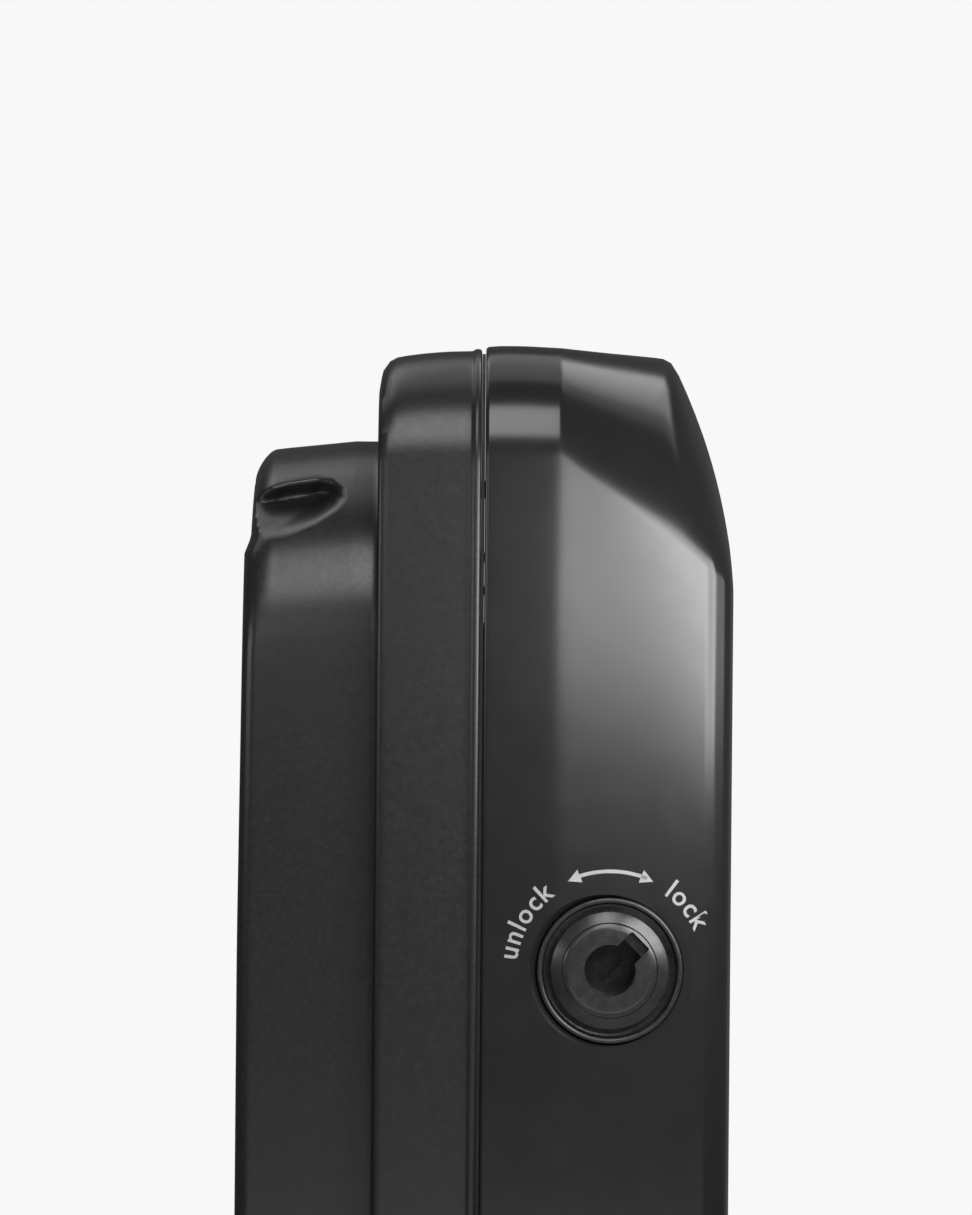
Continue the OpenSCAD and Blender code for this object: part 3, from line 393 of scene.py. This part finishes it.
# ---------------------------------------------------------------- finishes
def finish_of(name, colour, rough, metallic=0.0, grain=0.0, grain_size=0.4, mottle=0.0, mottle_size=6.0,
              specular=0.5, rough_spread=0.0, coat=0.0, brushed=None, sheen=0.0, clear=0.0):
    """A finish on Object coordinates: its colour is mottled by slow noise, its roughness by a second noise,
    and its bump is moulded grain of a given size in millimetres, or brush lines along one axis."""
    m = bpy.data.materials.new(name)
    m.use_nodes = True
    n, links = m.node_tree.nodes, m.node_tree.links
    bsdf = n["Principled BSDF"]
    bsdf.inputs["Metallic"].default_value = metallic
    bsdf.inputs["Specular IOR Level"].default_value = specular
    bsdf.inputs["Transmission Weight"].default_value = clear
    bsdf.inputs["Coat Weight"].default_value = coat
    bsdf.inputs["Coat Roughness"].default_value = 0.12
    bsdf.inputs["Sheen Weight"].default_value = sheen
    bsdf.inputs["Sheen Roughness"].default_value = 0.5
    place = n.new("ShaderNodeTexCoord")

    def noise(size_mm, detail, stretch=None):
        tex = n.new("ShaderNodeTexNoise")
        tex.inputs["Scale"].default_value = 1000.0 / size_mm
        tex.inputs["Detail"].default_value = detail
        source = place.outputs["Object"]
        if stretch:
            mapping = n.new("ShaderNodeMapping")
            mapping.inputs["Scale"].default_value = stretch
            links.new(source, mapping.inputs["Vector"])
            source = mapping.outputs["Vector"]
        links.new(source, tex.inputs["Vector"])
        return tex.outputs["Fac"]

    ramp = n.new("ShaderNodeValToRGB")
    for stop, at, share in zip(ramp.color_ramp.elements, (0.35, 0.65), (1 - mottle, 1 + mottle)):
        stop.position = at
        stop.color = (*[min(c * share, 1.0) for c in colour], 1)
    links.new(noise(mottle_size, 5.0), ramp.inputs["Fac"])
    links.new(ramp.outputs["Color"], bsdf.inputs["Base Color"])
    spread = n.new("ShaderNodeMapRange")
    spread.inputs["From Min"].default_value = 0.3
    spread.inputs["From Max"].default_value = 0.7
    spread.inputs["To Min"].default_value = rough - rough_spread
    spread.inputs["To Max"].default_value = rough + rough_spread
    links.new(noise(mottle_size * 0.5, 6.0, brushed), spread.inputs["Value"])
    links.new(spread.outputs["Result"], bsdf.inputs["Roughness"])
    if grain:
        bump = n.new("ShaderNodeBump")
        bump.inputs["Strength"].default_value = 1.0
        bump.inputs["Distance"].default_value = grain * MM
        links.new(noise(grain_size, 3.0, brushed), bump.inputs["Height"])
        links.new(bump.outputs["Normal"], bsdf.inputs["Normal"])
    return m


OUTER_PLASTIC = finish_of("satin_casing_plastic", (0.013, 0.013, 0.0132), 0.21, grain=0.004, grain_size=0.5,
                          mottle=0.05, mottle_size=9.0, rough_spread=0.012)
INNER_PLASTIC = finish_of("speckled_casing_plastic", (0.014, 0.014, 0.0142), 0.31, grain=0.012,
                          grain_size=0.7, mottle=0.10, mottle_size=1.6, rough_spread=0.03)
BLACK_PLASTIC = finish_of("moulded_black_plastic", (0.018, 0.018, 0.018), 0.45, grain=0.012, grain_size=0.5,
                          mottle=0.12)
LOCK_METAL = finish_of("black_lock_enamel", (0.020, 0.020, 0.021), 0.26, grain=0.003, grain_size=0.35,
                       mottle=0.12, mottle_size=3.0, rough_spread=0.05, specular=0.55)
STEEL = finish_of("turned_steel", (0.52, 0.52, 0.53), 0.34, metallic=1.0, grain=0.006, grain_size=0.3,
                  mottle=0.08, mottle_size=4.0, rough_spread=0.08, brushed=(1.0, 1.0, 9.0))
BRASS = finish_of("satin_brass", (0.72, 0.55, 0.26), 0.32, metallic=1.0, grain=0.005, grain_size=0.3,
                  mottle=0.10, mottle_size=3.0, rough_spread=0.07)
SLEEVE = finish_of("green_cell_sleeve", (0.04, 0.22, 0.13), 0.30, grain=0.010, grain_size=2.2, mottle=0.12,
                   mottle_size=14.0, rough_spread=0.05, coat=0.3)
SLEEVE_BLUE = finish_of("blue_cell_sleeve", (0.03, 0.12, 0.30), 0.30, grain=0.010, grain_size=2.2,
                        mottle=0.12, mottle_size=14.0, rough_spread=0.05, coat=0.3)
HOLDER = finish_of("natural_holder_plastic", (0.60, 0.60, 0.55), 0.50, grain=0.02, grain_size=0.7,
                   mottle=0.05)
NICKEL = finish_of("rolled_nickel", (0.60, 0.57, 0.52), 0.30, metallic=1.0, grain=0.006, grain_size=0.5,
                   mottle=0.08, rough_spread=0.08, brushed=(1.0, 1.0, 6.0))
PAPER = finish_of("pressed_insulation_paper", (0.50, 0.40, 0.20), 0.80, grain=0.04, grain_size=0.6,
                  mottle=0.15, mottle_size=2.5)
RUBBER = finish_of("soft_black_rubber", (0.016, 0.016, 0.016), 0.58, grain=0.03, grain_size=0.35, mottle=0.15,
                   sheen=0.1)
FOAM = finish_of("grey_cell_foam", (0.05, 0.05, 0.052), 0.90, grain=0.18, grain_size=0.9, mottle=0.25,
                 mottle_size=1.2)
SOLDER_MASK = finish_of("green_solder_mask", (0.012, 0.11, 0.045), 0.28, grain=0.012, grain_size=1.6,
                        mottle=0.15, mottle_size=2.2, coat=0.3)
ALLOY = finish_of("extruded_alloy", (0.66, 0.66, 0.68), 0.38, metallic=1.0, grain=0.010, grain_size=0.35,
                  mottle=0.06, rough_spread=0.06, brushed=(1.0, 8.0, 1.0))
RED_WIRE = finish_of("red_wire_sleeve", (0.42, 0.02, 0.014), 0.40, grain=0.01, grain_size=0.8, mottle=0.10)
BLACK_WIRE = finish_of("black_wire_sleeve", (0.017, 0.017, 0.017), 0.42, grain=0.01, grain_size=0.8,
                       mottle=0.12)
GREY_RIBBON = finish_of("grey_ribbon_cable", (0.36, 0.36, 0.36), 0.5, grain=0.05, grain_size=0.9, mottle=0.08,
                        brushed=(6.0, 1.0, 0.05))
FUSE_BODY = finish_of("amber_fuse_body", (0.62, 0.25, 0.03), 0.18, grain=0.004, grain_size=1.0, mottle=0.06,
                      coat=0.4, clear=0.25)
SMOKED = finish_of("smoked_window", (0.020, 0.020, 0.022), 0.10, grain=0.002, grain_size=2.0, mottle=0.10,
                   coat=0.5)
LAMP = finish_of("milky_lamp", (0.80, 0.80, 0.74), 0.30, grain=0.004, grain_size=0.5, mottle=0.03)
PRINT = finish_of("pale_grey_print", (0.36, 0.36, 0.36), 0.50, grain=0.004, grain_size=0.25, mottle=0.06,
                  mottle_size=1.5)

NODE_FINISH = {
    "shell_gasket": RUBBER, "shell_screws": STEEL, "thread_inserts": BRASS,
    "lower_holder_left": HOLDER, "lower_holder_right": HOLDER,
    "upper_holder_left": HOLDER, "upper_holder_right": HOLDER,
    "nickel_strips_left": NICKEL, "nickel_strips_right": NICKEL,
    "insulation_sheets": PAPER, "foam_pads": FOAM,
    "bms_standoffs": BRASS, "bms_board": SOLDER_MASK, "bms_transistors": BLACK_PLASTIC,
    "bms_heat_sink": ALLOY, "bms_connector": HOLDER, "bms_screws": STEEL,
    "balance_harness": GREY_RIBBON, "pack_wire_positive": RED_WIRE, "pack_wire_negative": BLACK_WIRE,
    "discharge_wires": RED_WIRE, "charge_wires": RED_WIRE,
    "fuse_holder": BLACK_PLASTIC, "fuse": FUSE_BODY,
    "discharge_socket": BLACK_PLASTIC, "discharge_contacts": BRASS, "socket_screws": STEEL,
    "charge_port": BLACK_PLASTIC, "charge_pins": BRASS, "charge_nut": STEEL, "charge_cap": RUBBER,
    "power_button": RUBBER, "button_bezel": LOCK_METAL, "indicator_window": SMOKED,
    "control_board": SOLDER_MASK, "control_lamps": LAMP,
    "lock_bezel": LOCK_METAL, "lock_body": LOCK_METAL, "lock_nut": STEEL,
    "lock_rotor": LOCK_METAL, "lock_plug": LOCK_METAL, "lock_cam": STEEL,
    "latch_plate": STEEL, "latch_bolt": STEEL, "latch_screws": STEEL,
    "outer_shell": OUTER_PLASTIC, "inner_shell": INNER_PLASTIC,
}
for node_name, node in NODES.items():
    if node_name.startswith("cell_group"):
        skin = SLEEVE if int(node_name[-2:]) % 2 else SLEEVE_BLUE
    else:
        skin = NODE_FINISH[node_name]
    node.data.materials.clear()
    node.data.materials.append(skin)


# ---------------------------------------------------------------- casing: blanks, cuts and finish
def side_lathe(name, profile, cx, cz, turns=96):
    """A cutter or boss turned about a line along Y at (cx, cz): its profile is (radius, y)."""
    return lathe_solid(name, profile, along_y(cx, cz), turns)


def front_lathe(name, profile, cy, cz, turns=72):
    """A cutter or boss turned about a line along X at (cy, cz): its profile is (radius, x)."""
    return lathe_solid(name, profile, along_x(cy, cz), turns)


def slab(name, x0, x1, y0, y1, z0, z1, round_by=0.0, axis=0):
    """A block whose four edges along one axis are rounded."""
    lo, hi = np.array([x0, y0, z0], float), np.array([x1, y1, z1], float)
    u, v = [i for i in range(3) if i != axis]
    r = max(round_by, 0.01)
    left, right, low, high = lo[u] + r, hi[u] - r, lo[v] + r, hi[v] - r
    corners = ((right, high, 0), (left, high, 90), (left, low, 180), (right, low, 270))
    o = np.concatenate([arc(cu, cv, r, a, a + 90, 7) for cu, cv, a in corners])
    n = len(o)
    verts = np.zeros((2 * n, 3))
    verts[:n, u], verts[:n, v], verts[:n, axis] = o[:, 0], o[:, 1], lo[axis]
    verts[n:, u], verts[n:, v], verts[n:, axis] = o[:, 0], o[:, 1], hi[axis]
    c = np.arange(n)
    d = (c + 1) % n
    faces = np.stack([c, d, n + d, n + c], 1).tolist() + [list(range(n))[::-1], list(range(n, 2 * n))]
    return closed_mesh(name, verts, faces)


def joined(name, meshes):
    """Several separate closed meshes as one."""
    b = bmesh.new()
    for m in meshes:
        b.from_mesh(m)
        bpy.data.meshes.remove(m)
    out = bpy.data.meshes.new(name)
    b.to_mesh(out)
    b.free()
    return out


def outer_casing():
    """The outer casing: the blank with bosses behind the lock and sockets, then soft-mouthed cuts for each
    piece that it carries."""
    blank = closed_mesh("outer_casing", *outer_blank())
    bosses = [
        side_lathe("lock_boss", [(0, -40.2), (14.4, -40.2), (14.4, -34.0), (0, -34.0)], LOCK_X, LOCK_Z),
        side_lathe("charge_boss", [(0, -40.4), (11.4, -40.4), (11.4, -36.2), (0, -36.2)], CHARGE_X, CHARGE_Z),
        slab("strap_boss", 4.5, 17.5, -40.4, -36.2, 30.0, 38.0),
        front_lathe("button_boss", [(0, 40.0), (9.5, 40.0), (9.5, 42.6), (0, 42.6)], 0.0, BUTTON_Z),
    ]
    done = carve(blank, bosses, "UNION")
    lock_mouth = [
        (0, -46.0), (16.2, -46.0), (14.9, -43.0), (14.2, -42.0), (13.75, -41.5), (13.4, -41.0), (13.13, -40.5),
        (13.0, -40.0), (12.96, -39.4), (12.96, -36.8), (9.6, -36.8), (9.6, -30.0), (0, -30.0)]
    charge_mouth = [
        (0, -46), (11.6, -46), (10.75, -42.0), (10.3, -41.6), (10.08, -41.1), (10.0, -40.6), (10.0, PORT_Y),
        (8.05, PORT_Y), (8.05, -37.8), (7.25, -37.8), (7.25, -30.0), (0, -30.0)]
    button_mouth = [
        (0, 48), (9.2, 48), (8.5, 44.2), (8.2, 43.9), (8.06, 43.5), (8.05, 41.8), (6.9, 41.8), (6.9, 36.0),
        (0, 36.0)]
    strap, hinge = STRAP_HALF + 0.35, STRAP_HALF + 1.4
    cuts = [
        side_lathe("lock_mouth", lock_mouth, LOCK_X, LOCK_Z, 128),
        side_lathe("charge_mouth", charge_mouth, CHARGE_X, CHARGE_Z),
        slab("strap_slot", CHARGE_X - strap, CHARGE_X + strap, -46, PORT_Y, CHARGE_Z + 4, 36.8, 0.8, 1),
        slab("hinge_hole", CHARGE_X - hinge, CHARGE_X + hinge, -41.2, -39.7, 34.25, 35.75, 0.74, 0),
        front_lathe("button_mouth", button_mouth, 0.0, BUTTON_Z),
        slab("window_slot", 39.4, 48, -2.55, 2.55, WINDOW_Z - 8.05, WINDOW_Z + 8.05, 1.2, 0),
    ]
    done = carve(done, cuts)
    piece = place_piece("outer_casing", done, "housing", OUTER_PLASTIC, 32.0)
    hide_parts("outer_shell")


def inner_casing():
    """The frame-side casing: the blank with screw towers and the pocket's liner, then its openings."""
    blank = closed_mesh("inner_casing", *inner_blank())
    solids, cuts = [], []
    for (y, z), end, face in zip(SCREWS, (-40.6, -40.6, -38.6), (-HALF_D, -HALF_D, 1.9 - HALF_D)):
        tower = [(0, end), (4.6, end), (4.6, -2.2), (0, -2.2)]
        bore = [(0, face - 3), (3.9, face - 3), (3.55, face), (3.25, face + 0.35), (3.1, face + 0.8),
                (3.1, -8.1), (1.7, -8.1), (1.7, 0.5), (0, 0.5)]
        for s in (-1, 1):
            solids.append(front_lathe("tower", tower, s * y, z, 40))
            cuts.append(front_lathe("screw_bore", bore, s * y, z, 48))
    solids.append(slab("liner", -43.0, -30.0, -9.0, 9.0, 269.0, 281.0, 1.0, 0))
    done = carve(blank, [joined("towers", solids)], "UNION")
    cuts.append(slab("striker_cut", -46, -32.0, -7.0, 7.0, 271.0, 279.0, 1.0, 0))
    cuts.append(slab("socket_cut", SOCKET_X - 11.05, SOCKET_X + 11.05, -21.05, 21.05, -2, 5, 2.0, 2))
    done = carve(done, [joined("openings", cuts)])
    piece = place_piece("inner_casing", done, "housing", INNER_PLASTIC, 32.0)
    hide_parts("inner_shell")


outer_casing()
inner_casing()


# ---------------------------------------------------------------- lock
def turn_at_lock(mesh, degrees):
    """Moves a mesh drawn about the origin to the lock's axis, turned by an angle clockwise of up."""
    v = np.empty(len(mesh.vertices) * 3)
    mesh.vertices.foreach_get("co", v)
    v = v.reshape(-1, 3)
    a = math.radians(degrees)
    x, z = v[:, 0].copy(), v[:, 2].copy()
    v[:, 0] = LOCK_X * MM + x * math.cos(a) + z * math.sin(a)
    v[:, 2] = LOCK_Z * MM - x * math.sin(a) + z * math.cos(a)
    mesh.vertices.foreach_set("co", v.ravel())
    mesh.update()


def lock_pieces():
    """The lock seen from outside: a thin ring round a dark groove, the body with its wide sloping rim, and
    the rotor with a keyhole and its slot turned 45 degrees."""
    at_lock = along_y(LOCK_X, LOCK_Z)
    ring = ring_solid("lock_ring", [
        (9.56, -36.8), (12.9, -36.8), (12.9, -40.75), (12.87, -40.98), (12.78, -41.16), (12.63, -41.27),
        (12.45, -41.3), (12.25, -41.28), (12.08, -41.18), (11.96, -41.0), (11.91, -40.75), (11.9, -38.1),
        (11.82, -37.9), (11.6, -37.8), (9.56, -37.8)], at_lock, 128)
    piece = place_piece("lock_ring", ring, "housing", LOCK_METAL, 50.0)
    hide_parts("lock_bezel")
    brow = arc(10.2, -40.1, 0.3, 0, -62, 6)
    body = ring_solid("lock_barrel", [
        (9.5, -22.0), (9.5, -37.8), (10.5, -37.8), (10.5, -39.9), *brow, (9.5, -40.75), (8.9, -41.05),
        (8.53, -41.2), (8.45, -41.12), (8.45, -38.8), (6.55, -38.8), (6.55, -22.0)], at_lock, 128)
    piece = place_piece("lock_barrel", body, "housing", LOCK_METAL, 34.0)
    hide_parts("lock_body")
    disc = lathe_solid("lock_rotor_face", [
        (0, -41.5), (7.2, -41.5), (7.45, -41.48), (7.7, -41.42), (8.25, -41.22), (8.36, -41.14), (8.4, -41.0),
        (8.4, -39.1), (6.5, -39.1), (6.5, -21.9), (0, -21.9)], at_lock, 128)
    hole = lathe_solid("keyhole", [
        (0, -43), (4.75, -43), (4.62, -41.52), (4.48, -41.38), (4.4, -41.15), (4.4, -29.0), (4.05, -29.0),
        (4.05, -23.6), (0, -23.6)], at_lock, 96)
    deep = slab("slot_deep", -2.2, 2.2, -43, -29.0, 0.5, 5.7, 0.25, 1)
    wide = slab("slot_wide", -2.2, 2.2, -43, -39.4, 0.4, 7.7, 0.35, 1)
    for m in (deep, wide):
        turn_at_lock(m, 45.0)
    disc = carve(disc, [hole, deep, wide])
    piece = place_piece("lock_rotor_face", disc, "key_rotor", LOCK_METAL, 34.0)
    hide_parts("lock_rotor")


lock_pieces()


# ---------------------------------------------------------------- printing round the lock
def wall_y(x):
    """Outer surface of the -Y wall at each x."""
    at = np.linspace(-1.0, 43.5, 600)
    return -np.interp(x, at, np.array([side_width(q) for q in at]))


def round_lock(r, a):
    """Points (x, z) at radius r from the lock's axis and an angle a clockwise of up: (r sin a, r cos a)."""
    return np.stack([LOCK_X + r * np.sin(a), LOCK_Z + r * np.cos(a)], -1)


def printed(name, points, faces):
    """A flat print laid just proud of the -Y wall, from points (x, z)."""
    pts = np.stack([points[:, 0], wall_y(points[:, 0]) - PRINT_PROUD, points[:, 1]], -1)
    mesh = bpy.data.meshes.new(name)
    mesh.from_pydata((pts * MM).tolist(), [], faces)
    place_piece(name, mesh, "housing", PRINT)
    if mesh.polygons[0].normal.y >= 0:
        mesh.flip_normals()


def curved_word(name, word, middle):
    """A word in the plain built-in face, set along a circle round the lock, its middle clockwise of up."""
    curve = bpy.data.curves.new(name, "FONT")
    curve.body = word
    curve.size = LETTER_SIZE
    curve.space_character = 1.14
    curve.offset = 0.06
    curve.resolution_u = 3
    curve.align_x = "CENTER"
    obj = bpy.data.objects.new(name, curve)
    bpy.context.scene.collection.objects.link(obj)
    flat = bpy.data.meshes.new_from_object(obj.evaluated_get(bpy.context.evaluated_depsgraph_get()))
    bpy.data.objects.remove(obj)
    v = np.empty(len(flat.vertices) * 3)
    flat.vertices.foreach_get("co", v)
    v = v.reshape(-1, 3)
    faces = [list(p.vertices) for p in flat.polygons]
    bpy.data.meshes.remove(flat)
    a = math.radians(middle) + v[:, 0] / (WORD_R + 0.4 * LETTER_SIZE)
    printed(name, round_lock(WORD_R + v[:, 1], a), faces)


def turn_arrow():
    """An arc with a head at each end, above the lock; a head's corners are its tip and its neck's two ends."""
    n = 40
    a = np.radians(np.linspace(-ARROW_HALF, ARROW_HALF, n))
    points = np.concatenate([round_lock(ARROW_R - LINE_HALF, a), round_lock(ARROW_R + LINE_HALF, a)])
    i = np.arange(n - 1)
    faces = np.stack([i, i + 1, n + i + 1, n + i], 1).tolist()
    tip, neck = math.radians(25.6), math.radians(18.3)
    for side in (-1, 1):
        base = len(points)
        head = round_lock(np.array([17.45, 18.75, 16.35]), side * np.array([tip, neck, neck - 0.012]))
        points = np.concatenate([points, head])
        faces.append([base, base + 2, base + 1] if side > 0 else [base, base + 1, base + 2])
    printed("turn_arrow", points, faces)


PRINT_PROUD = 0.02
WORD_R, LETTER_SIZE = 16.5, 5.0
ARROW_R, ARROW_HALF, LINE_HALF = 17.55, 21.5, 0.32      # radius, half turn in degrees, and half width
turn_arrow()
curved_word("word_unlock", "unlock", -60.5)
curved_word("word_lock", "lock", 49.5)


# ---------------------------------------------------------------- charge cap, button and window
def small_fittings():
    """The charge cap with its strap and pull lip, the dished power button in its ring, and the window."""
    cap = lathe_solid("charge_cap_cover", [
        (0, -41.2), (5.6, -41.2), (5.9, -41.12), (6.1, -40.98), (6.4, -40.98), (6.6, -41.12), (6.9, -41.2),
        (8.6, -41.2), (9.0, -41.13), (9.3, -40.93), (9.4, -40.6), (9.4, -39.9), (9.3, -39.75), (9.1, -39.7),
        (5.0, -39.7), (5.0, -38.6), (4.8, -38.4), (0, -38.4)], along_y(CHARGE_X, CHARGE_Z), 96)
    strap = slab("strap", 7.0, 15.0, -41.2, -39.7, 31.4, 35.0, 0.35, 0)
    pin = slab("pin", 5.2, 16.8, -41.15, -39.75, 34.3, 35.7, 0.68, 0)
    notch = slab("notch", 8.0, 14.0, -43.0, -40.75, 14.0, 16.2, 0.3, 0)
    cap = carve(carve(cap, [strap, pin], "UNION"), [notch])
    piece = place_piece("charge_cap_cover", cap, "charge_cap", RUBBER, 34.0)
    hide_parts("charge_cap")
    at_button = along_x(0.0, BUTTON_Z)
    button = lathe_solid("power_button_cover", [
        (0, 37.7), (1.6, 37.7), (1.6, 39.6), (6.4, 39.6), (6.5, 39.7), (6.5, 43.0), (6.42, 43.26),
        (6.2, 43.42), (5.9, 43.5), (5.3, 43.47), (4.2, 43.3), (2.4, 43.12), (0, 43.05)], at_button, 72)
    piece = place_piece("power_button_cover", button, "power_button", RUBBER, 34.0)
    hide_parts("power_button")
    ring = ring_solid("power_button_ring", [
        (6.92, 41.8), (8.0, 41.8), (8.0, 43.25), (7.93, 43.45), (7.78, 43.57), (7.6, 43.6), (7.3, 43.6),
        (7.1, 43.55), (6.97, 43.42), (6.92, 43.2)], at_button, 96)
    piece = place_piece("power_button_ring", ring, "housing", LOCK_METAL, 50.0)
    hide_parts("button_bezel")
    lens = slab("window_lens", 39.8, 43.7, -2.5, 2.5, WINDOW_Z - 8.0, WINDOW_Z + 8.0, 1.15, 0)
    piece = place_piece("window_lens", lens, "housing", SMOKED, 34.0)
    edge = piece.modifiers.new("soft_edge", "BEVEL")
    edge.width = 0.25 * MM
    edge.segments = 3
    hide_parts("indicator_window")


small_fittings()


# ---------------------------------------------------------------- stage, light and camera
def softbox(name, target, turn, tilt, distance, width, height, glow, roll=0.0):
    """A rectangular soft light of a given glow, in millimetres and degrees: distance from target, turned to
    the right and tilted up as seen from it, and rolled about its own line of aim."""
    data = bpy.data.lights.new(name, "AREA")
    data.shape = "RECTANGLE"
    data.size, data.size_y = width * MM, height * MM
    data.energy = glow * math.pi * width * height * MM * MM
    obj = bpy.data.objects.new(name, data)
    bpy.context.scene.collection.objects.link(obj)
    a, e = math.radians(turn), math.radians(tilt)
    away = Vector((math.sin(a) * math.cos(e), -math.cos(a) * math.cos(e), math.sin(e)))
    obj.location = (Vector(target) + away * distance) * MM
    facing = away.to_track_quat("Z", "Y").to_matrix() @ Matrix.Rotation(math.radians(roll), 3, "Z")
    obj.rotation_euler = facing.to_euler()
    obj.visible_camera = False


def pale_floor():
    """A pale floor disc just under the part."""
    b = bmesh.new()
    bmesh.ops.create_circle(b, cap_ends=True, radius=FLOOR_R, segments=96)
    mesh = bpy.data.meshes.new("floor")
    b.to_mesh(mesh)
    b.free()
    floor = bpy.data.objects.new("floor", mesh)
    bpy.context.scene.collection.objects.link(floor)
    floor.location = (0, 0, FLOOR_Z)
    mesh.materials.append(finish_of("pale_floor", (0.80, 0.80, 0.80), 0.7, mottle=0.01, mottle_size=200.0))


def dim_surround():
    """A dim white surround that the camera sees as a plain backdrop."""
    world = bpy.data.worlds.new("studio")
    bpy.context.scene.world = world
    world.use_nodes = True
    n, links = world.node_tree.nodes, world.node_tree.links
    n.clear()
    out, mix = n.new("ShaderNodeOutputWorld"), n.new("ShaderNodeMixShader")
    path = n.new("ShaderNodeLightPath")
    dim, seen = n.new("ShaderNodeBackground"), n.new("ShaderNodeBackground")
    dim.inputs["Color"].default_value = (1, 1, 1, 1)
    dim.inputs["Strength"].default_value = SURROUND
    seen.inputs["Color"].default_value = (BACKDROP, BACKDROP, BACKDROP, 1)
    links.new(path.outputs["Is Camera Ray"], mix.inputs["Fac"])
    links.new(dim.outputs["Background"], mix.inputs[1])
    links.new(seen.outputs["Background"], mix.inputs[2])
    links.new(mix.outputs["Shader"], out.inputs["Surface"])


def long_lens_camera():
    """A long lens square to the lock's side, which takes in VIEW_HEIGHT of the wall."""
    cam = bpy.data.cameras.new("camera")
    cam.sensor_fit = "VERTICAL"
    cam.sensor_height = SENSOR
    cam.lens = SENSOR * (-CAMERA_AT[1] - HALF_W * MM) / VIEW_HEIGHT
    cam.clip_start, cam.clip_end = 0.05, 10.0
    obj = bpy.data.objects.new("camera", cam)
    bpy.context.scene.collection.objects.link(obj)
    obj.location = CAMERA_AT
    obj.rotation_euler = (math.radians(90), math.radians(CAMERA_ROLL), 0)
    bpy.context.scene.camera = obj


FLOOR_R, FLOOR_Z = 0.55, -0.0004                        # in metres, as the camera's sizes are
SURROUND, BACKDROP = 0.10, 0.939                        # what lights the part, and what is seen behind it
CAMERA_AT, CAMERA_ROLL = (-0.0004, -2.04, 0.3454), -0.5
VIEW_HEIGHT, SENSOR = 0.21425, 24.0
# Each light's name, target, turn, tilt, distance, width, height, glow and, where it has one, roll.
LIGHTS = (
    ("front_above", (-10, -30, 375), -1.0, 38.0, 500, 190, 290, 5.6),
    ("right_front_strip", (28, -40, 357), 12.4, 0.0, 240, 84, 56, 7.0, -10.0),
    ("right_corner_strip", (40, -34, 350), 68.0, 0.0, 240, 260, 56, 2.7),
    ("front_strip", (13, -42, 354), 4.0, 0.0, 240, 26, 50, 1.2),
    ("tongue_strip", (-32, -38, 345), -9.0, 7.0, 200, 46, 42, 2.4),
    ("left_strip", (-24, -38, 356), -58.0, 0.0, 240, 150, 44, 3.6),
    ("right_above", (30, 0, 385), 128.0, 53.0, 400, 240, 170, 1.5),
    ("lock_light", (22, -41, 281), 40.0, 33.0, 120, 76, 70, 9.0),
    ("low_front", (0, -42, 222), 0.0, -9.0, 350, 320, 66, 1.9),
    ("left_side", (0, 0, 200), -118.0, 60.0, 900, 600, 500, 0.9),
    ("right_side", (0, 0, 200), 118.0, 60.0, 900, 600, 500, 0.7),
    ("above_behind", (0, 0, 260), 180.0, 74.0, 900, 900, 700, 0.9),
)
pale_floor()
dim_surround()
for light in LIGHTS:
    softbox(*light)
long_lens_camera()
bpy.context.scene.view_settings.view_transform = "Standard"
bpy.context.scene.view_settings.look = "None"
